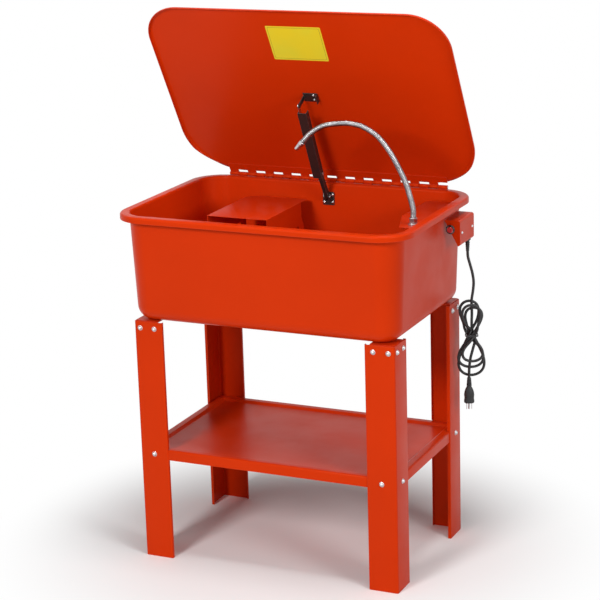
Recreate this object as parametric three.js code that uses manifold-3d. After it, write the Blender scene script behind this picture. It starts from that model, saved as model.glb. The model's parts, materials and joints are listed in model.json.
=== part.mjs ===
// Parts washer tank: a pressed steel tub on four angle legs, with a hinged lid, a folding lid stay,
// a pump with a gooseneck nozzle, a switch box and its mains lead. Millimetres, +Z up.
// The origin is on the floor, midway between the legs. The lid is modelled open, as it stands in use.
import * as THREE from 'three';
import { mergeVertices } from 'three/addons/utils/BufferGeometryUtils.js';
import Module from 'manifold-3d';

const wasm = await Module();
wasm.setup();

// ---- driving dimensions -------------------------------------------------------------------------
const gap = 0.3;                 // clearance left between pieces that touch
const rad = Math.PI / 180;

const rimWidth = 770;            // tub over its rim, left to right
const rimDepth = 526;            // tub over its rim, front to back
const rimTop = 899;              // top of the rim above the floor
const tubFloor = 627;            // underside of the tub above the floor
const tubSheet = 1.6;
const rimFlange = 24;
const rimLip = 15;
const rimCorner = 86;            // outer corner radius of the rim, in plan
const tubTaper = 11;             // how far each wall leans in, from rim to floor
const tubFloorRadius = 35;

const legWidth = 695;            // leg frame over its outer faces, left to right
const legDepth = 445;            // leg frame over its outer faces, front to back
const legFlange = 77;
const legSheet = 2;
const legReturn = 8;             // stiffening lip on each free edge
const legTop = 625;
const bracketFlange = 62;
const bracketSheet = 2.5;
const bracketDrop = 44;
const legBoltHeight = 608;
const legBoltInset = 16;         // from the leg's corner to its outer top bolt
const boltShank = 6;             // shank diameter
const boltHole = 6.8;
const boltHead = 13;

const shelfTop = 292;
const shelfSkirt = 27;
const shelfBorder = 23;
const shelfDish = 6;
const shelfSheet = 1.5;
const shelfChamfer = 14;
const shelfBoltHeight = 278;

const lidWidth = 808;
const lidDepth = 545;            // from the hinge axis to the front edge
const lidSheet = 1.5;
const lidFrontCorner = 101;
const lidRearCorner = 141;
const lidRoll = 9;
const lidOpen = 60;              // degrees between the open lid and the closed lid
const lidRearGap = 8;            // from the hinge axis to the lid's rear edge

const hingeRadius = 5;           // knuckle
const hingeSheet = 1.5;
const hingePin = 2.5;            // pin radius
const hingeBore = 3;
const hingeKnuckle = 25.5;
const hingePairs = 12;
const hingeInset = 7.5;          // from the rim's rear edge to the hinge axis
const hingeLidLeaf = 30;
const hingeTubLeaf = 14.5;
const hingeNotch = 12;           // depth of a notch in the lid's leaf, from the axis

const stayX = -18;               // middle of the stay's channel
const stayWallY = 226;           // pivot on the tub's rear wall
const stayWallZ = 866;
const stayLower = 82;            // pivot to pivot
const stayLidAlong = 272;        // lid pivot, from the hinge axis along the lid
const stayLidDrop = 31;          // lid pivot, below the hinge axis when the lid is shut
const staySlack = 0.4;           // the two arms together are this much longer than the open reach
const stayChannel = 24;
const stayPin = 2.5;             // pin radius
const stayHole = 2.8;
const staySheet = 2;

const deckDrop = 25;             // pump deck below the rim
const deckLeft = 262;
const deckRear = 226;
const deckFront = -62;
const deckApron = 34;
const hoseX = 325;               // gooseneck socket
const hoseY = -34;
const hoseRadius = 7;

const workLeft = -232;           // raised work shelf
const workRight = -66;
const workFront = -30;
const workRear = 214;
const workTop = 858;
const workSheet = 1.5;

const pumpX = 288;
const pumpY = 120;
const pumpRadius = 27;
const pumpHeight = 92;
const impellerRadius = 19;

const drainX = -60;
const drainY = -60;
const drainStem = 9;             // stem radius

const boxInner = 361;            // switch box: face towards the tub
const boxOuter = 402;
const boxFront = 80;
const boxRear = 180;
const boxBottom = 800;
const boxTop = 864;
const boxWall = 2;
const switchX = 377;
const switchZ = 841;
const rockerRadius = 7.6;
const rockerTilt = 7;            // degrees off level in the off position
const leadX = 390;               // where the mains lead leaves the box
const leadY = 166;
const leadDiameter = 7;

// ---- materials ----------------------------------------------------------------------------------
const material = (color, roughness, metalness) =>
  new THREE.MeshStandardMaterial({ color, roughness, metalness });
const red = material(0xcc3300, 0.35, 0.1);
const black = material(0x1c1f20, 0.5, 0.3);
const zinc = material(0xc4c6c8, 0.35, 1);
const hoseMetal = material(0xa8a8aa, 0.4, 0.9);
const rubber = material(0x151515, 0.8, 0);
const plastic = material(0x1a1a1c, 0.55, 0);
const redPlastic = material(0xc8323a, 0.4, 0);

// ---- shape helpers ------------------------------------------------------------------------------
const model = new THREE.Group();

function put(name, geometry, look, parent = model) {
  const mesh = new THREE.Mesh(geometry, look);
  mesh.name = name;
  parent.add(mesh);
  return mesh;
}

function solidOf(geometry) {
  const bare = geometry.clone();
  bare.deleteAttribute('normal');
  bare.deleteAttribute('uv');
  const merged = mergeVertices(bare, 1e-4);
  return new wasm.Manifold(new wasm.Mesh({
    numProp: 3,
    vertProperties: new Float32Array(merged.attributes.position.array),
    triVerts: new Uint32Array(merged.index.array),
  }));
}

function geometryOf(solid) {
  const mesh = solid.getMesh();
  const geometry = new THREE.BufferGeometry();
  geometry.setAttribute('position', new THREE.BufferAttribute(new Float32Array(mesh.vertProperties), 3));
  geometry.setIndex(new THREE.BufferAttribute(new Uint32Array(mesh.triVerts), 1));
  geometry.computeVertexNormals();
  return geometry;
}

const join = (first, ...rest) =>
  geometryOf(rest.reduce((sum, next) => sum.add(solidOf(next)), solidOf(first)));
const cut = (first, ...rest) =>
  geometryOf(rest.reduce((sum, next) => sum.subtract(solidOf(next)), solidOf(first)));

// A box between two opposite corners.
function block(x0, x1, y0, y1, z0, z1) {
  const geometry = new THREE.BoxGeometry(x1 - x0, y1 - y0, z1 - z0);
  return geometry.translate((x0 + x1) / 2, (y0 + y1) / 2, (z0 + z1) / 2);
}

// A cylinder from one point to another.
function rod(from, to, radius, sides = 20) {
  const start = new THREE.Vector3(...from);
  const along = new THREE.Vector3(...to).sub(start);
  const geometry = new THREE.CylinderGeometry(radius, radius, along.length(), sides);
  geometry.translate(0, along.length() / 2, 0);
  geometry.applyQuaternion(
    new THREE.Quaternion().setFromUnitVectors(new THREE.Vector3(0, 1, 0), along.normalize()));
  return geometry.translate(start.x, start.y, start.z);
}

// A turned piece: the profile's [radius, height] pairs run from the axis back to the axis.
function turned(profile, sides = 24) {
  const geometry = new THREE.LatheGeometry(profile.map(([r, h]) => new THREE.Vector2(r, h)), sides);
  return geometry.rotateX(Math.PI / 2);
}

// A flat outline made into a plate, from z = 0 up to the thickness.
function plate(points, thickness, curveSegments = 8) {
  const shape = points instanceof THREE.Shape
    ? points : new THREE.Shape(points.map(([x, y]) => new THREE.Vector2(x, y)));
  return new THREE.ExtrudeGeometry(shape, { depth: thickness, bevelEnabled: false, curveSegments });
}

// Turns a path of [a, b, radius] corners into points, with an arc at each inner corner.
function filleted(corners, steps = 5) {
  const points = [corners[0].slice(0, 2)];
  for (let i = 1; i < corners.length - 1; i++) {
    const here = new THREE.Vector2(...corners[i]);
    const back = new THREE.Vector2(...corners[i - 1]).sub(here).normalize();
    const on = new THREE.Vector2(...corners[i + 1]).sub(here).normalize();
    const half = Math.acos(back.dot(on)) / 2;
    const radius = corners[i][2];
    const centre = back.clone().add(on).normalize().multiplyScalar(radius / Math.sin(half)).add(here);
    const first = here.clone().addScaledVector(back, radius / Math.tan(half)).sub(centre);
    const turn = (Math.PI - 2 * half) * Math.sign(on.cross(back));
    for (let k = 0; k <= steps; k++) {
      const p = first.clone().rotateAround(new THREE.Vector2(), turn * k / steps).add(centre);
      points.push([p.x, p.y]);
    }
  }
  points.push(corners.at(-1).slice(0, 2));
  return points;
}

// Offsets a path sideways by a distance, mitred at its points.
function offset(path, distance) {
  return path.map(([a, b], i) => {
    const before = path[Math.max(i - 1, 0)];
    const after = path[Math.min(i + 1, path.length - 1)];
    const into = new THREE.Vector2(a - before[0], b - before[1]).normalize();
    const out = new THREE.Vector2(after[0] - a, after[1] - b).normalize();
    const along = into.clone().add(out).normalize();
    const reach = distance / Math.max(along.dot(i ? into : out), 0.5);
    return [a - along.y * reach, b + along.x * reach];
  });
}

// The closed outline of a bent strip of sheet.
const strip = (path, sheet) => [...offset(path, sheet / 2), ...offset(path, -sheet / 2).reverse()];

// One level of a pressing: a rectangle with rounded corners, grown outwards by a distance.
function roundedLevel(outline, grow, z, steps) {
  const { left, right, front, rear, frontCorner, rearCorner } = outline;
  const corners = [
    [right, rear, 1, 1, rearCorner, 0],
    [left, rear, -1, 1, rearCorner, 90],
    [left, front, -1, -1, frontCorner, 180],
    [right, front, 1, -1, frontCorner, 270],
  ];
  const level = [];
  for (const [x, y, sideX, sideY, corner, start] of corners) {
    const radius = Math.max(corner + grow, 3);
    const centreX = x + sideX * (grow - radius);
    const centreY = y + sideY * (grow - radius);
    for (let k = 0; k <= steps; k++) {
      const angle = (start + 90 * k / steps) * rad;
      level.push([centreX + radius * Math.cos(angle), centreY + radius * Math.sin(angle), z]);
    }
  }
  return level;
}

// A pressed tray of even sheet. The path's [grow, z] points run from the middle panel to the free edge.
function pressing(outline, path, sheet, steps = 6) {
  const skin = [...offset(path, -sheet / 2), ...offset(path, sheet / 2).reverse()];
  const levels = skin.map(([grow, z]) => roundedLevel(outline, grow, z, steps));
  const count = levels[0].length;
  const position = levels.flat(2);
  const index = [];
  for (let level = 0; level < levels.length - 1; level++) {
    for (let k = 0; k < count; k++) {
      const a = level * count + k;
      const b = level * count + (k + 1) % count;
      index.push(a, b, b + count, a, b + count, a + count);
    }
  }
  const last = (levels.length - 1) * count;
  for (const [first, flip] of [[0, true], [last, false]]) {
    const hub = position.length / 3;
    const height = levels[first / count][0][2];
    position.push((outline.left + outline.right) / 2, (outline.front + outline.rear) / 2, height);
    for (let k = 0; k < count; k++) {
      const a = first + k;
      const b = first + (k + 1) % count;
      index.push(...(flip ? [hub, b, a] : [hub, a, b]));
    }
  }
  const geometry = new THREE.BufferGeometry();
  geometry.setAttribute('position', new THREE.Float32BufferAttribute(position, 3));
  geometry.setIndex(index);
  return geometry;
}

// A tube along a smooth route of [x, y, z] points.
function tube(route, radius, sides, steps) {
  const curve = new THREE.CatmullRomCurve3(route.map(p => new THREE.Vector3(...p)));
  const section = new THREE.Shape();
  for (let k = 0; k < sides; k++) {
    const angle = 2 * Math.PI * k / sides;
    const action = k ? 'lineTo' : 'moveTo';
    section[action](radius * Math.cos(angle), radius * Math.sin(angle));
  }
  return new THREE.ExtrudeGeometry(section, { extrudePath: curve, steps, bevelEnabled: false });
}

// A rivet along X between two faces, with a flat head outside each of them.
const rivetHead = 4.5;
const rivetHeadHeight = 1.6;
function rivet(x0, x1, [y, z], radius) {
  const low = x0 - gap;
  const high = x1 + gap;
  return join(
    rod([low - 1, y, z], [high + 1, y, z], radius, 14),
    rod([low - rivetHeadHeight, y, z], [low, y, z], rivetHead, 14),
    rod([high, y, z], [high + rivetHeadHeight, y, z], rivetHead, 14));
}

// A bar with round ends between two points of the YZ plane, cut from plate of a given X range.
function link(from, to, halfWidth, x0, x1) {
  const length = Math.hypot(to[0] - from[0], to[1] - from[1]);
  const shape = new THREE.Shape();
  shape.absarc(0, 0, halfWidth, Math.PI / 2, 3 * Math.PI / 2);
  shape.absarc(length, 0, halfWidth, -Math.PI / 2, Math.PI / 2);
  const geometry = plate(shape, x1 - x0, 8);
  geometry.rotateZ(Math.atan2(to[1] - from[1], to[0] - from[0]));
  const upright = new THREE.Matrix4().set(0, 0, 1, x0, 1, 0, 0, from[0], 0, 1, 0, from[1], 0, 0, 0, 1);
  return geometry.applyMatrix4(upright);
}

// ---- tub ----------------------------------------------------------------------------------------
const floorMid = tubFloor + tubSheet / 2;
const rimMid = rimTop - tubSheet / 2;
const tubOutline = {
  left: -rimWidth / 2 + rimFlange,
  right: rimWidth / 2 - rimFlange,
  front: -rimDepth / 2 + rimFlange,
  rear: rimDepth / 2 - rimFlange,
  frontCorner: rimCorner - rimFlange,
  rearCorner: rimCorner - rimFlange,
};
const lipMid = rimFlange - tubSheet / 2;
const tubPath = filleted([
  [-58, floorMid],
  [-tubTaper, floorMid, tubFloorRadius],
  [0, rimMid, 5],
  [lipMid, rimMid, 5],
  [lipMid, rimTop - rimLip],
], 4);
const drainHole = rod([drainX, drainY, tubFloor - 5], [drainX, drainY, tubFloor + 9], drainStem + 0.6);
put('tub', cut(pressing(tubOutline, tubPath, tubSheet, 6), drainHole), red);

// How far the middle of the wall's sheet stands inside the rim's inner edge, at a height.
const wallLean = z => tubTaper * (rimMid - z) / (rimMid - floorMid);
const innerRear = z => tubOutline.rear - wallLean(z) - tubSheet / 2;
const tubFloorTop = tubFloor + tubSheet;

// ---- drain plug and its washer ------------------------------------------------------------------
const gasketTop = tubFloor - gap;
const gasketHeight = 2;
const plugHeadTop = gasketTop - gasketHeight - gap;
const drainPlug = turned([
  [0, plugHeadTop - 9], [14, plugHeadTop - 9], [14, plugHeadTop - 3], [16, plugHeadTop - 3],
  [16, plugHeadTop], [drainStem, plugHeadTop], [drainStem, tubFloorTop + 3], [0, tubFloorTop + 3],
], 18).translate(drainX, drainY, 0);
put('drain_plug', drainPlug, zinc);
const washer = new THREE.Shape().absarc(0, 0, 17, 0, 2 * Math.PI);
washer.holes.push(new THREE.Path().absarc(0, 0, drainStem + 0.5, 0, 2 * Math.PI, true));
const gasket = plate(washer, gasketHeight, 20);
put('drain_gasket', gasket.translate(drainX, drainY, gasketTop - gasketHeight), rubber);

// ---- legs, corner brackets, lower shelf and their bolts -----------------------------------------
const legX = legWidth / 2;
const legY = legDepth / 2;
const flangeMid = legFlange - legSheet / 2;
const insideLeg = legSheet + gap;
const shelfHalfX = legX - insideLeg;
const shelfHalfY = legY - insideLeg;
const corners = [
  ['front_left', -1, -1], ['front_right', 1, -1], ['rear_right', 1, 1], ['rear_left', -1, 1],
];

// The bolts of one corner: each has a name, a height, and an inset from the corner along one flange.
const boltPlaces = [
  ['top', legBoltHeight, legBoltInset, bracketSheet],
  ['shelf', shelfBoltHeight, legFlange / 2, shelfSheet],
];

// A point on a flange of the corner at +X +Y, moved to the corner with the given sides.
// across is 'x' for the flange that faces along X, and 'y' for the one that faces along Y.
function onFlange(sideX, sideY, across, inset, depth, z) {
  const x = across === 'x' ? legX - depth : legX - inset;
  const y = across === 'x' ? legY - inset : legY - depth;
  return [sideX * x, sideY * y, z];
}

function boltBore(sideX, sideY, across, inset, z) {
  const from = onFlange(sideX, sideY, across, inset, -2, z);
  const to = onFlange(sideX, sideY, across, inset, 12, z);
  return rod(from, to, boltHole / 2, 10);
}

// A domed bolt whose shank passes inwards through the sheets, and ends in its nut.
function bolt(sideX, sideY, across, inset, z, sheets) {
  const profile = [
    [0, -boltShank * 0.62], [boltHead * 0.22, -boltShank * 0.58], [boltHead * 0.38, -boltShank * 0.38],
    [boltHead / 2, -gap], [boltShank / 2, -gap], [boltShank / 2, sheets + gap],
    [boltHead * 0.42, sheets + gap], [boltHead * 0.42, sheets + 5], [0, sheets + 5],
  ];
  const geometry = turned(profile, 8);
  const inward = new THREE.Vector3(across === 'x' ? -sideX : 0, across === 'x' ? 0 : -sideY, 0);
  geometry.applyQuaternion(new THREE.Quaternion().setFromUnitVectors(new THREE.Vector3(0, 0, 1), inward));
  return geometry.translate(...onFlange(sideX, sideY, across, inset, 0, z));
}

const legBend = 4;
const legPath = filleted([
  [flangeMid, legReturn], [flangeMid, legSheet / 2, 2], [legSheet / 2, legSheet / 2, legBend],
  [legSheet / 2, flangeMid, 2], [legReturn, flangeMid],
], 3);
const bracketPath = filleted([
  [bracketFlange, bracketSheet / 2], [bracketSheet / 2, bracketSheet / 2, legBend],
  [bracketSheet / 2, bracketFlange],
], 3);

for (const [name, sideX, sideY] of corners) {
  const toCorner = inset => ([u, v]) => [sideX * (legX - inset - u), sideY * (legY - inset - v)];
  const bores = boltPlaces.flatMap(([, z, inset]) => [
    boltBore(sideX, sideY, 'x', inset, z), boltBore(sideX, sideY, 'y', inset, z),
  ]);

  // The return lips stop short of the shelf, so that it can sit against the flanges.
  const shelfSlot = block(
    ...[legX - insideLeg, 0].map(x => sideX * x).sort((a, b) => a - b),
    ...[legY - insideLeg, 0].map(y => sideY * y).sort((a, b) => a - b),
    shelfTop - shelfSkirt - 2, shelfTop + 2);
  const legBlank = plate(strip(legPath, legSheet).map(toCorner(0)), legTop);
  put(`leg_${name}`, cut(legBlank, shelfSlot, ...bores), red);

  const bracketTop = tubFloor - gap;
  const angle = plate(strip(bracketPath, bracketSheet).map(toCorner(insideLeg)), bracketDrop);
  const tabX = [legX - insideLeg - bracketFlange, legX - insideLeg - tubFloorRadius].map(x => sideX * x);
  const tabY = [legY - insideLeg - bracketFlange, legY - insideLeg - tubFloorRadius].map(y => sideY * y);
  const seat = plate([
    [sideX * (legX - insideLeg - 1), tabY[0]],
    [sideX * (legX - insideLeg - 1), sideY * (legY - insideLeg - 6)],
    [sideX * (legX - insideLeg - 6), sideY * (legY - insideLeg - 1)],
    [tabX[0], sideY * (legY - insideLeg - 1)],
    [tabX[0], tabY[1]], [tabX[1], tabY[0]],
  ], bracketSheet).translate(0, 0, bracketTop - bracketSheet);
  angle.translate(0, 0, bracketTop - bracketDrop);
  put(`bracket_${name}`, cut(join(angle, seat), ...bores), red);

  for (const [label, z, inset, inner] of boltPlaces) {
    for (const across of ['x', 'y']) {
      const sheets = legSheet + gap + inner;
      put(`bolt_${name}_${label}_${across}`, bolt(sideX, sideY, across, inset, z, sheets), zinc);
    }
  }
}

const shelfOutline = {
  left: -shelfHalfX, right: shelfHalfX, front: -shelfHalfY, rear: shelfHalfY,
  frontCorner: shelfChamfer, rearCorner: shelfChamfer,
};
const shelfMid = shelfTop - shelfSheet / 2;
const shelfPath = filleted([
  [-shelfBorder - 30, shelfMid - shelfDish],
  [-shelfBorder - 4, shelfMid - shelfDish, 3],
  [-shelfBorder + 4, shelfMid, 3],
  [-shelfSheet / 2, shelfMid, 4],
  [-shelfSheet / 2, shelfTop - shelfSkirt],
], 3);
const shelfBores = corners.flatMap(([, sideX, sideY]) => ['x', 'y'].map(across =>
  boltBore(sideX, sideY, across, legFlange / 2, shelfBoltHeight)));
put('lower_shelf', cut(pressing(shelfOutline, shelfPath, shelfSheet, 2), ...shelfBores), red);

// ---- hinge --------------------------------------------------------------------------------------
const hingeY = rimDepth / 2 - hingeInset;
const hingeZ = rimTop + hingeRadius + gap;
const leafHalf = hingeKnuckle * hingePairs;      // half the hinge's length
const endPlay = 0.4;

// The lid's group has the hinge axis as its X axis; in it the shut lid lies along -Y.
const lidGroup = new THREE.Group();
lidGroup.position.set(0, hingeY, hingeZ);
lidGroup.rotation.x = -lidOpen * rad;
model.add(lidGroup);

// A leaf is a strip with a row of knuckles. taken says which of each pair of places the other leaf has.
function hingeLeaf(leafStrip, taken, notchFrom) {
  const knuckles = rod([-leafHalf, 0, 0], [leafHalf, 0, 0], hingeRadius, 12);
  const bore = rod([-leafHalf - 1, 0, 0], [leafHalf + 1, 0, 0], hingeBore, 8);
  const notches = [];
  for (let pair = 0; pair < hingePairs; pair++) {
    const start = -leafHalf + (2 * pair + taken) * hingeKnuckle - endPlay;
    const end = start + hingeKnuckle + 2 * endPlay;
    notches.push(block(start, end, notchFrom, hingeRadius + 2, -hingeRadius - 2, hingeRadius + 2));
  }
  return cut(join(leafStrip, knuckles), bore, ...notches);
}

const lidStrip = block(-leafHalf, leafHalf, -hingeLidLeaf, 0, hingeRadius - hingeSheet, hingeRadius);
put('hinge_leaf_lid', hingeLeaf(lidStrip, 1, -hingeNotch), red, lidGroup);
const tubStrip = block(-leafHalf, leafHalf, -hingeTubLeaf, 0, -hingeRadius, -hingeRadius + hingeSheet);
put('hinge_leaf_tub', hingeLeaf(tubStrip, 0, -hingeRadius - 3).translate(0, hingeY, hingeZ), red);
put('hinge_pin', rod([-leafHalf, hingeY, hingeZ], [leafHalf, hingeY, hingeZ], hingePin, 12), zinc);

// ---- lid ----------------------------------------------------------------------------------------
const lidUnder = hingeRadius + gap;            // underside of the lid's panel, above the axis when shut
const lidMid = lidUnder + lidSheet / 2;
const lidLipBottom = rimTop + 1 - hingeZ;
const lidOutline = {
  left: -lidWidth / 2, right: lidWidth / 2, front: -lidDepth, rear: -lidRearGap,
  frontCorner: lidFrontCorner, rearCorner: lidRearCorner,
};
const lidPath = filleted([
  [-60, lidMid],
  [-lidSheet / 2, lidMid, lidRoll],
  [-lidSheet / 2, lidLipBottom],
], 4);
const lidBlank = pressing(lidOutline, lidPath, lidSheet, 8);
const leafRelief = block(-lidWidth, lidWidth, -hingeLidLeaf - 3, 10, -30, lidUnder);
put('lid', cut(lidBlank, leafRelief), red, lidGroup);

// ---- lid stay: two arms, worked out as a linkage in the YZ plane --------------------------------
const turn2 = ([y, z], angle) =>
  [y * Math.cos(angle) - z * Math.sin(angle), y * Math.sin(angle) + z * Math.cos(angle)];
const openPivot = turn2([-stayLidAlong, -stayLidDrop], -lidOpen * rad);
const lidPivot = [hingeY + openPivot[0], hingeZ + openPivot[1]];
const wallPivot = [stayWallY, stayWallZ];
const openReach = Math.hypot(lidPivot[0] - wallPivot[0], lidPivot[1] - wallPivot[1]);
const stayUpper = openReach + staySlack - stayLower;
const along = (stayLower ** 2 + openReach ** 2 - stayUpper ** 2) / (2 * openReach);
const aside = Math.sqrt(stayLower ** 2 - along ** 2);
const reachY = (lidPivot[0] - wallPivot[0]) / openReach;
const reachZ = (lidPivot[1] - wallPivot[1]) / openReach;
const knee = [
  wallPivot[0] + along * reachY - aside * reachZ,
  wallPivot[1] + along * reachZ + aside * reachY,
];
const armHalf = 6;
const lowerArmX = [stayX - 1, stayX + 9];
const pinAcross = (x0, x1, [y, z], radius) => rod([x0, y, z], [x1, y, z], radius, 14);

const lowerArm = cut(link(wallPivot, knee, armHalf, ...lowerArmX),
  pinAcross(stayX - 20, stayX + 20, wallPivot, stayHole),
  pinAcross(stayX - 20, stayX + 20, knee, stayHole));
put('stay_lower_arm', lowerArm, black);

// The channel lies along its own +X, with the knee at 0 and its open side up.
const channelHalf = stayChannel / 2;
const channelEnd = stayUpper - 16;
const channelDepth = 16;
const webUnder = -10;
const channelOutline = [
  [-channelHalf, webUnder], [channelHalf, webUnder], [channelHalf, webUnder + channelDepth],
  [channelHalf - staySheet, webUnder + channelDepth], [channelHalf - staySheet, webUnder + staySheet],
  [-channelHalf + staySheet, webUnder + staySheet], [-channelHalf + staySheet, webUnder + channelDepth],
  [-channelHalf, webUnder + channelDepth],
];
const channelStart = -9;
const channelBlank = plate(channelOutline, channelEnd - channelStart)
  .applyMatrix4(new THREE.Matrix4().set(0, 0, 1, channelStart, 1, 0, 0, 0, 0, 1, 0, 0, 0, 0, 0, 1));
const channelBore = (s, radius) => rod([s, -30, 0], [s, 30, 0], radius, 14);
const strapStart = stayUpper - 40;
const strapRivet = strapStart + 6;

// In the channel's own frame, Y runs across it and Z is negative towards its web.
const upperGroup = new THREE.Group();
upperGroup.position.set(stayX, ...knee);
const upperAngle = Math.atan2(lidPivot[1] - knee[1], lidPivot[0] - knee[0]);
const basis = new THREE.Matrix4().makeBasis(
  new THREE.Vector3(0, Math.cos(upperAngle), Math.sin(upperAngle)),
  new THREE.Vector3(1, 0, 0),
  new THREE.Vector3(0, Math.sin(upperAngle), -Math.cos(upperAngle)));
upperGroup.quaternion.setFromRotationMatrix(basis);
model.add(upperGroup);
const channel = cut(channelBlank, channelBore(0, stayHole), channelBore(strapRivet, stayHole));
put('stay_upper_arm', channel, black, upperGroup);

// The fusible strap is riveted inside the channel's left flange, and carries the lid's pivot.
const strapX = -channelHalf + staySheet + gap;
const strapSheet = 1.5;
const strapShape = new THREE.Shape();
strapShape.absarc(strapStart + 6, 0, 6, Math.PI / 2, 3 * Math.PI / 2);
strapShape.absarc(stayUpper, 0, 6, -Math.PI / 2, Math.PI / 2);
const strap = plate(strapShape, strapSheet, 8)
  .applyMatrix4(new THREE.Matrix4().set(1, 0, 0, 0, 0, 0, 1, strapX, 0, -1, 0, 0, 0, 0, 0, 1));
put('fusible_link', cut(strap, channelBore(strapRivet, stayHole)), zinc, upperGroup);
const strapRivetPiece = rivet(-channelHalf, strapX + strapSheet, [0, 0], stayPin)
  .applyMatrix4(new THREE.Matrix4().set(0, 1, 0, strapRivet, 1, 0, 0, 0, 0, 0, -1, 0, 0, 0, 0, 1));
put('fusible_link_rivet', strapRivetPiece, zinc, upperGroup);

// The knee pin is fast in the channel, and the lower arm turns on it.
put('stay_knee_pin', rivet(stayX - channelHalf, stayX + channelHalf, knee, stayPin), zinc);

// Two ears on a plate hold the lower arm's pivot against the tub's rear wall.
const earSheet = 2.5;
const earLeft = lowerArmX[0] - gap - earSheet;
const earRight = lowerArmX[1] + gap;
const earBack = innerRear(stayWallZ - 24) - gap - 0.1;
const earPlateEdge = 8;          // how far the plate runs past each ear
const wallEar = x0 => link(wallPivot, [earBack - 1, stayWallZ - 8], 7, x0, x0 + earSheet);
const plateBack = block(earLeft - earPlateEdge, earRight + earSheet + earPlateEdge,
  earBack - earSheet, earBack, stayWallZ - 24, stayWallZ + 10);
const behindPlate = block(earLeft - 20, earRight + 20, earBack, earBack + 30,
  stayWallZ - 40, stayWallZ + 30);
const stayBracket = cut(join(wallEar(earLeft), plateBack, wallEar(earRight)), behindPlate,
  pinAcross(stayX - 30, stayX + 30, wallPivot, stayHole));
put('stay_bracket', stayBracket, black);
put('stay_pivot_pin', rivet(earLeft, earRight + earSheet, wallPivot, stayPin), zinc);

// The lid's bracket: a plate under the panel, with one ear that hangs inside the channel's end.
const lidEarX = stayX + strapX + strapSheet + gap;
const padSheet = 2;
const padTop = lidUnder - gap;
const pad = block(lidEarX, lidEarX + 40, -stayLidAlong - 13, -stayLidAlong + 13, padTop - padSheet, padTop);
const lidEar = link(
  [-stayLidAlong, padTop - 8], [-stayLidAlong, -stayLidDrop], 6, lidEarX, lidEarX + earSheet);
const earGusset = block(lidEarX, lidEarX + earSheet,
  -stayLidAlong - 6, -stayLidAlong + 6, padTop - 12, padTop - 1);
const padWing = block(lidEarX + 38, lidEarX + 40,
  -stayLidAlong - 13, -stayLidAlong + 13, padTop - 12, padTop);
put('lid_bracket', join(pad, lidEar, earGusset, padWing), black, lidGroup);

// ---- pump deck, work shelf ----------------------------------------------------------------------
const deckTop = rimTop - deckDrop;
const deckSheet = 1.5;
const deckRight = tubOutline.right - wallLean(deckTop - deckSheet) - tubSheet / 2 - gap;
const deckOutline = [
  [deckLeft, 50], [300, deckFront], [deckRight, deckFront], [deckRight, 172], [deckRight - 14, 203],
  [deckRight - 38, deckRear], [deckLeft + 10, deckRear], [deckLeft, deckRear - 10],
];
const deckPanel = plate(deckOutline, deckSheet).translate(0, 0, deckTop - deckSheet);
const deckSide = block(deckLeft, deckLeft + deckSheet,
  50, deckRear - 10, deckTop - deckApron, deckTop - 0.5);
const socketHole = rod([hoseX, hoseY, deckTop - 20], [hoseX, hoseY, deckTop + 5], 8.6, 20);
put('pump_deck', cut(join(deckPanel, deckSide), socketHole), red);

// The raised work shelf is one folded sheet that stands on the tub's floor on its two sides.
const workRound = 38;
const workShape = new THREE.Shape();
workShape.moveTo(workLeft, workFront);
workShape.lineTo(workRight, workFront);
workShape.lineTo(workRight, workRear);
workShape.lineTo(workLeft + workRound, workRear);
workShape.absarc(workLeft + workRound, workRear - workRound, workRound, Math.PI / 2, Math.PI);
const workPanel = plate(workShape, workSheet, 8).translate(0, 0, workTop - workSheet);
const workFoot = tubFloorTop + gap;
const footRear = tubOutline.rear - tubTaper - tubFloorRadius - 6;
function workSide(x0) {
  const outline = [
    [workFront, workTop - 0.5], [workFront, workTop - 40], [workFront + 20, workTop - 60],
    [workFront + 20, workFoot], [workFront + 50, workFoot], [workFront + 50, workTop - 60],
    [footRear - 30, workTop - 60], [footRear - 30, workFoot], [footRear, workFoot],
    [footRear, workTop - 60], [workRear - workRound, workTop - 40], [workRear - workRound, workTop - 0.5],
  ];
  const side = plate(outline, workSheet);
  return side.applyMatrix4(new THREE.Matrix4().set(0, 0, 1, x0, 1, 0, 0, 0, 0, 1, 0, 0, 0, 0, 0, 1));
}
put('work_shelf', join(workPanel, workSide(workLeft), workSide(workRight - workSheet)), red);

// ---- pump ---------------------------------------------------------------------------------------
const pumpFoot = tubFloorTop + gap;
const pumpBase = pumpFoot + 8;
const pumpTop = pumpBase + pumpHeight;
const cavity = 16;
const shaftRadius = 3;
const shaftBore = 3.3;
const pumpBody = turned([
  [0, pumpBase + cavity + 24], [shaftBore, pumpBase + cavity + 24], [shaftBore, pumpBase + cavity],
  [impellerRadius + 2, pumpBase + cavity], [impellerRadius + 2, pumpBase], [pumpRadius, pumpBase],
  [pumpRadius, pumpBase + 26], [pumpRadius - 6, pumpBase + 32], [pumpRadius - 6, pumpTop - 8],
  [pumpRadius - 14, pumpTop], [0, pumpTop],
], 18).translate(pumpX, pumpY, 0);
const feet = [0, 120, 240].map(angle => {
  const x = pumpX + (pumpRadius - 4) * Math.cos(angle * rad);
  const y = pumpY + (pumpRadius - 4) * Math.sin(angle * rad);
  return rod([x, y, pumpFoot], [x, y, pumpBase + 4], 3.6, 10);
});
const outletTop = pumpTop + 16;
const outlet = rod([pumpX, pumpY, pumpTop - 4], [pumpX, pumpY, outletTop], 6, 14);
put('pump_body', join(pumpBody, ...feet, outlet), black);
const impeller = turned([
  [0, pumpBase + 3], [8, pumpBase + 3], [8, pumpBase + 6], [impellerRadius, pumpBase + 6],
  [impellerRadius, pumpBase + cavity - 2], [shaftRadius, pumpBase + cavity - 2],
  [shaftRadius, pumpBase + cavity + 22], [0, pumpBase + cavity + 22],
], 20);
const vaneReach = impellerRadius - 1;
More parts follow.
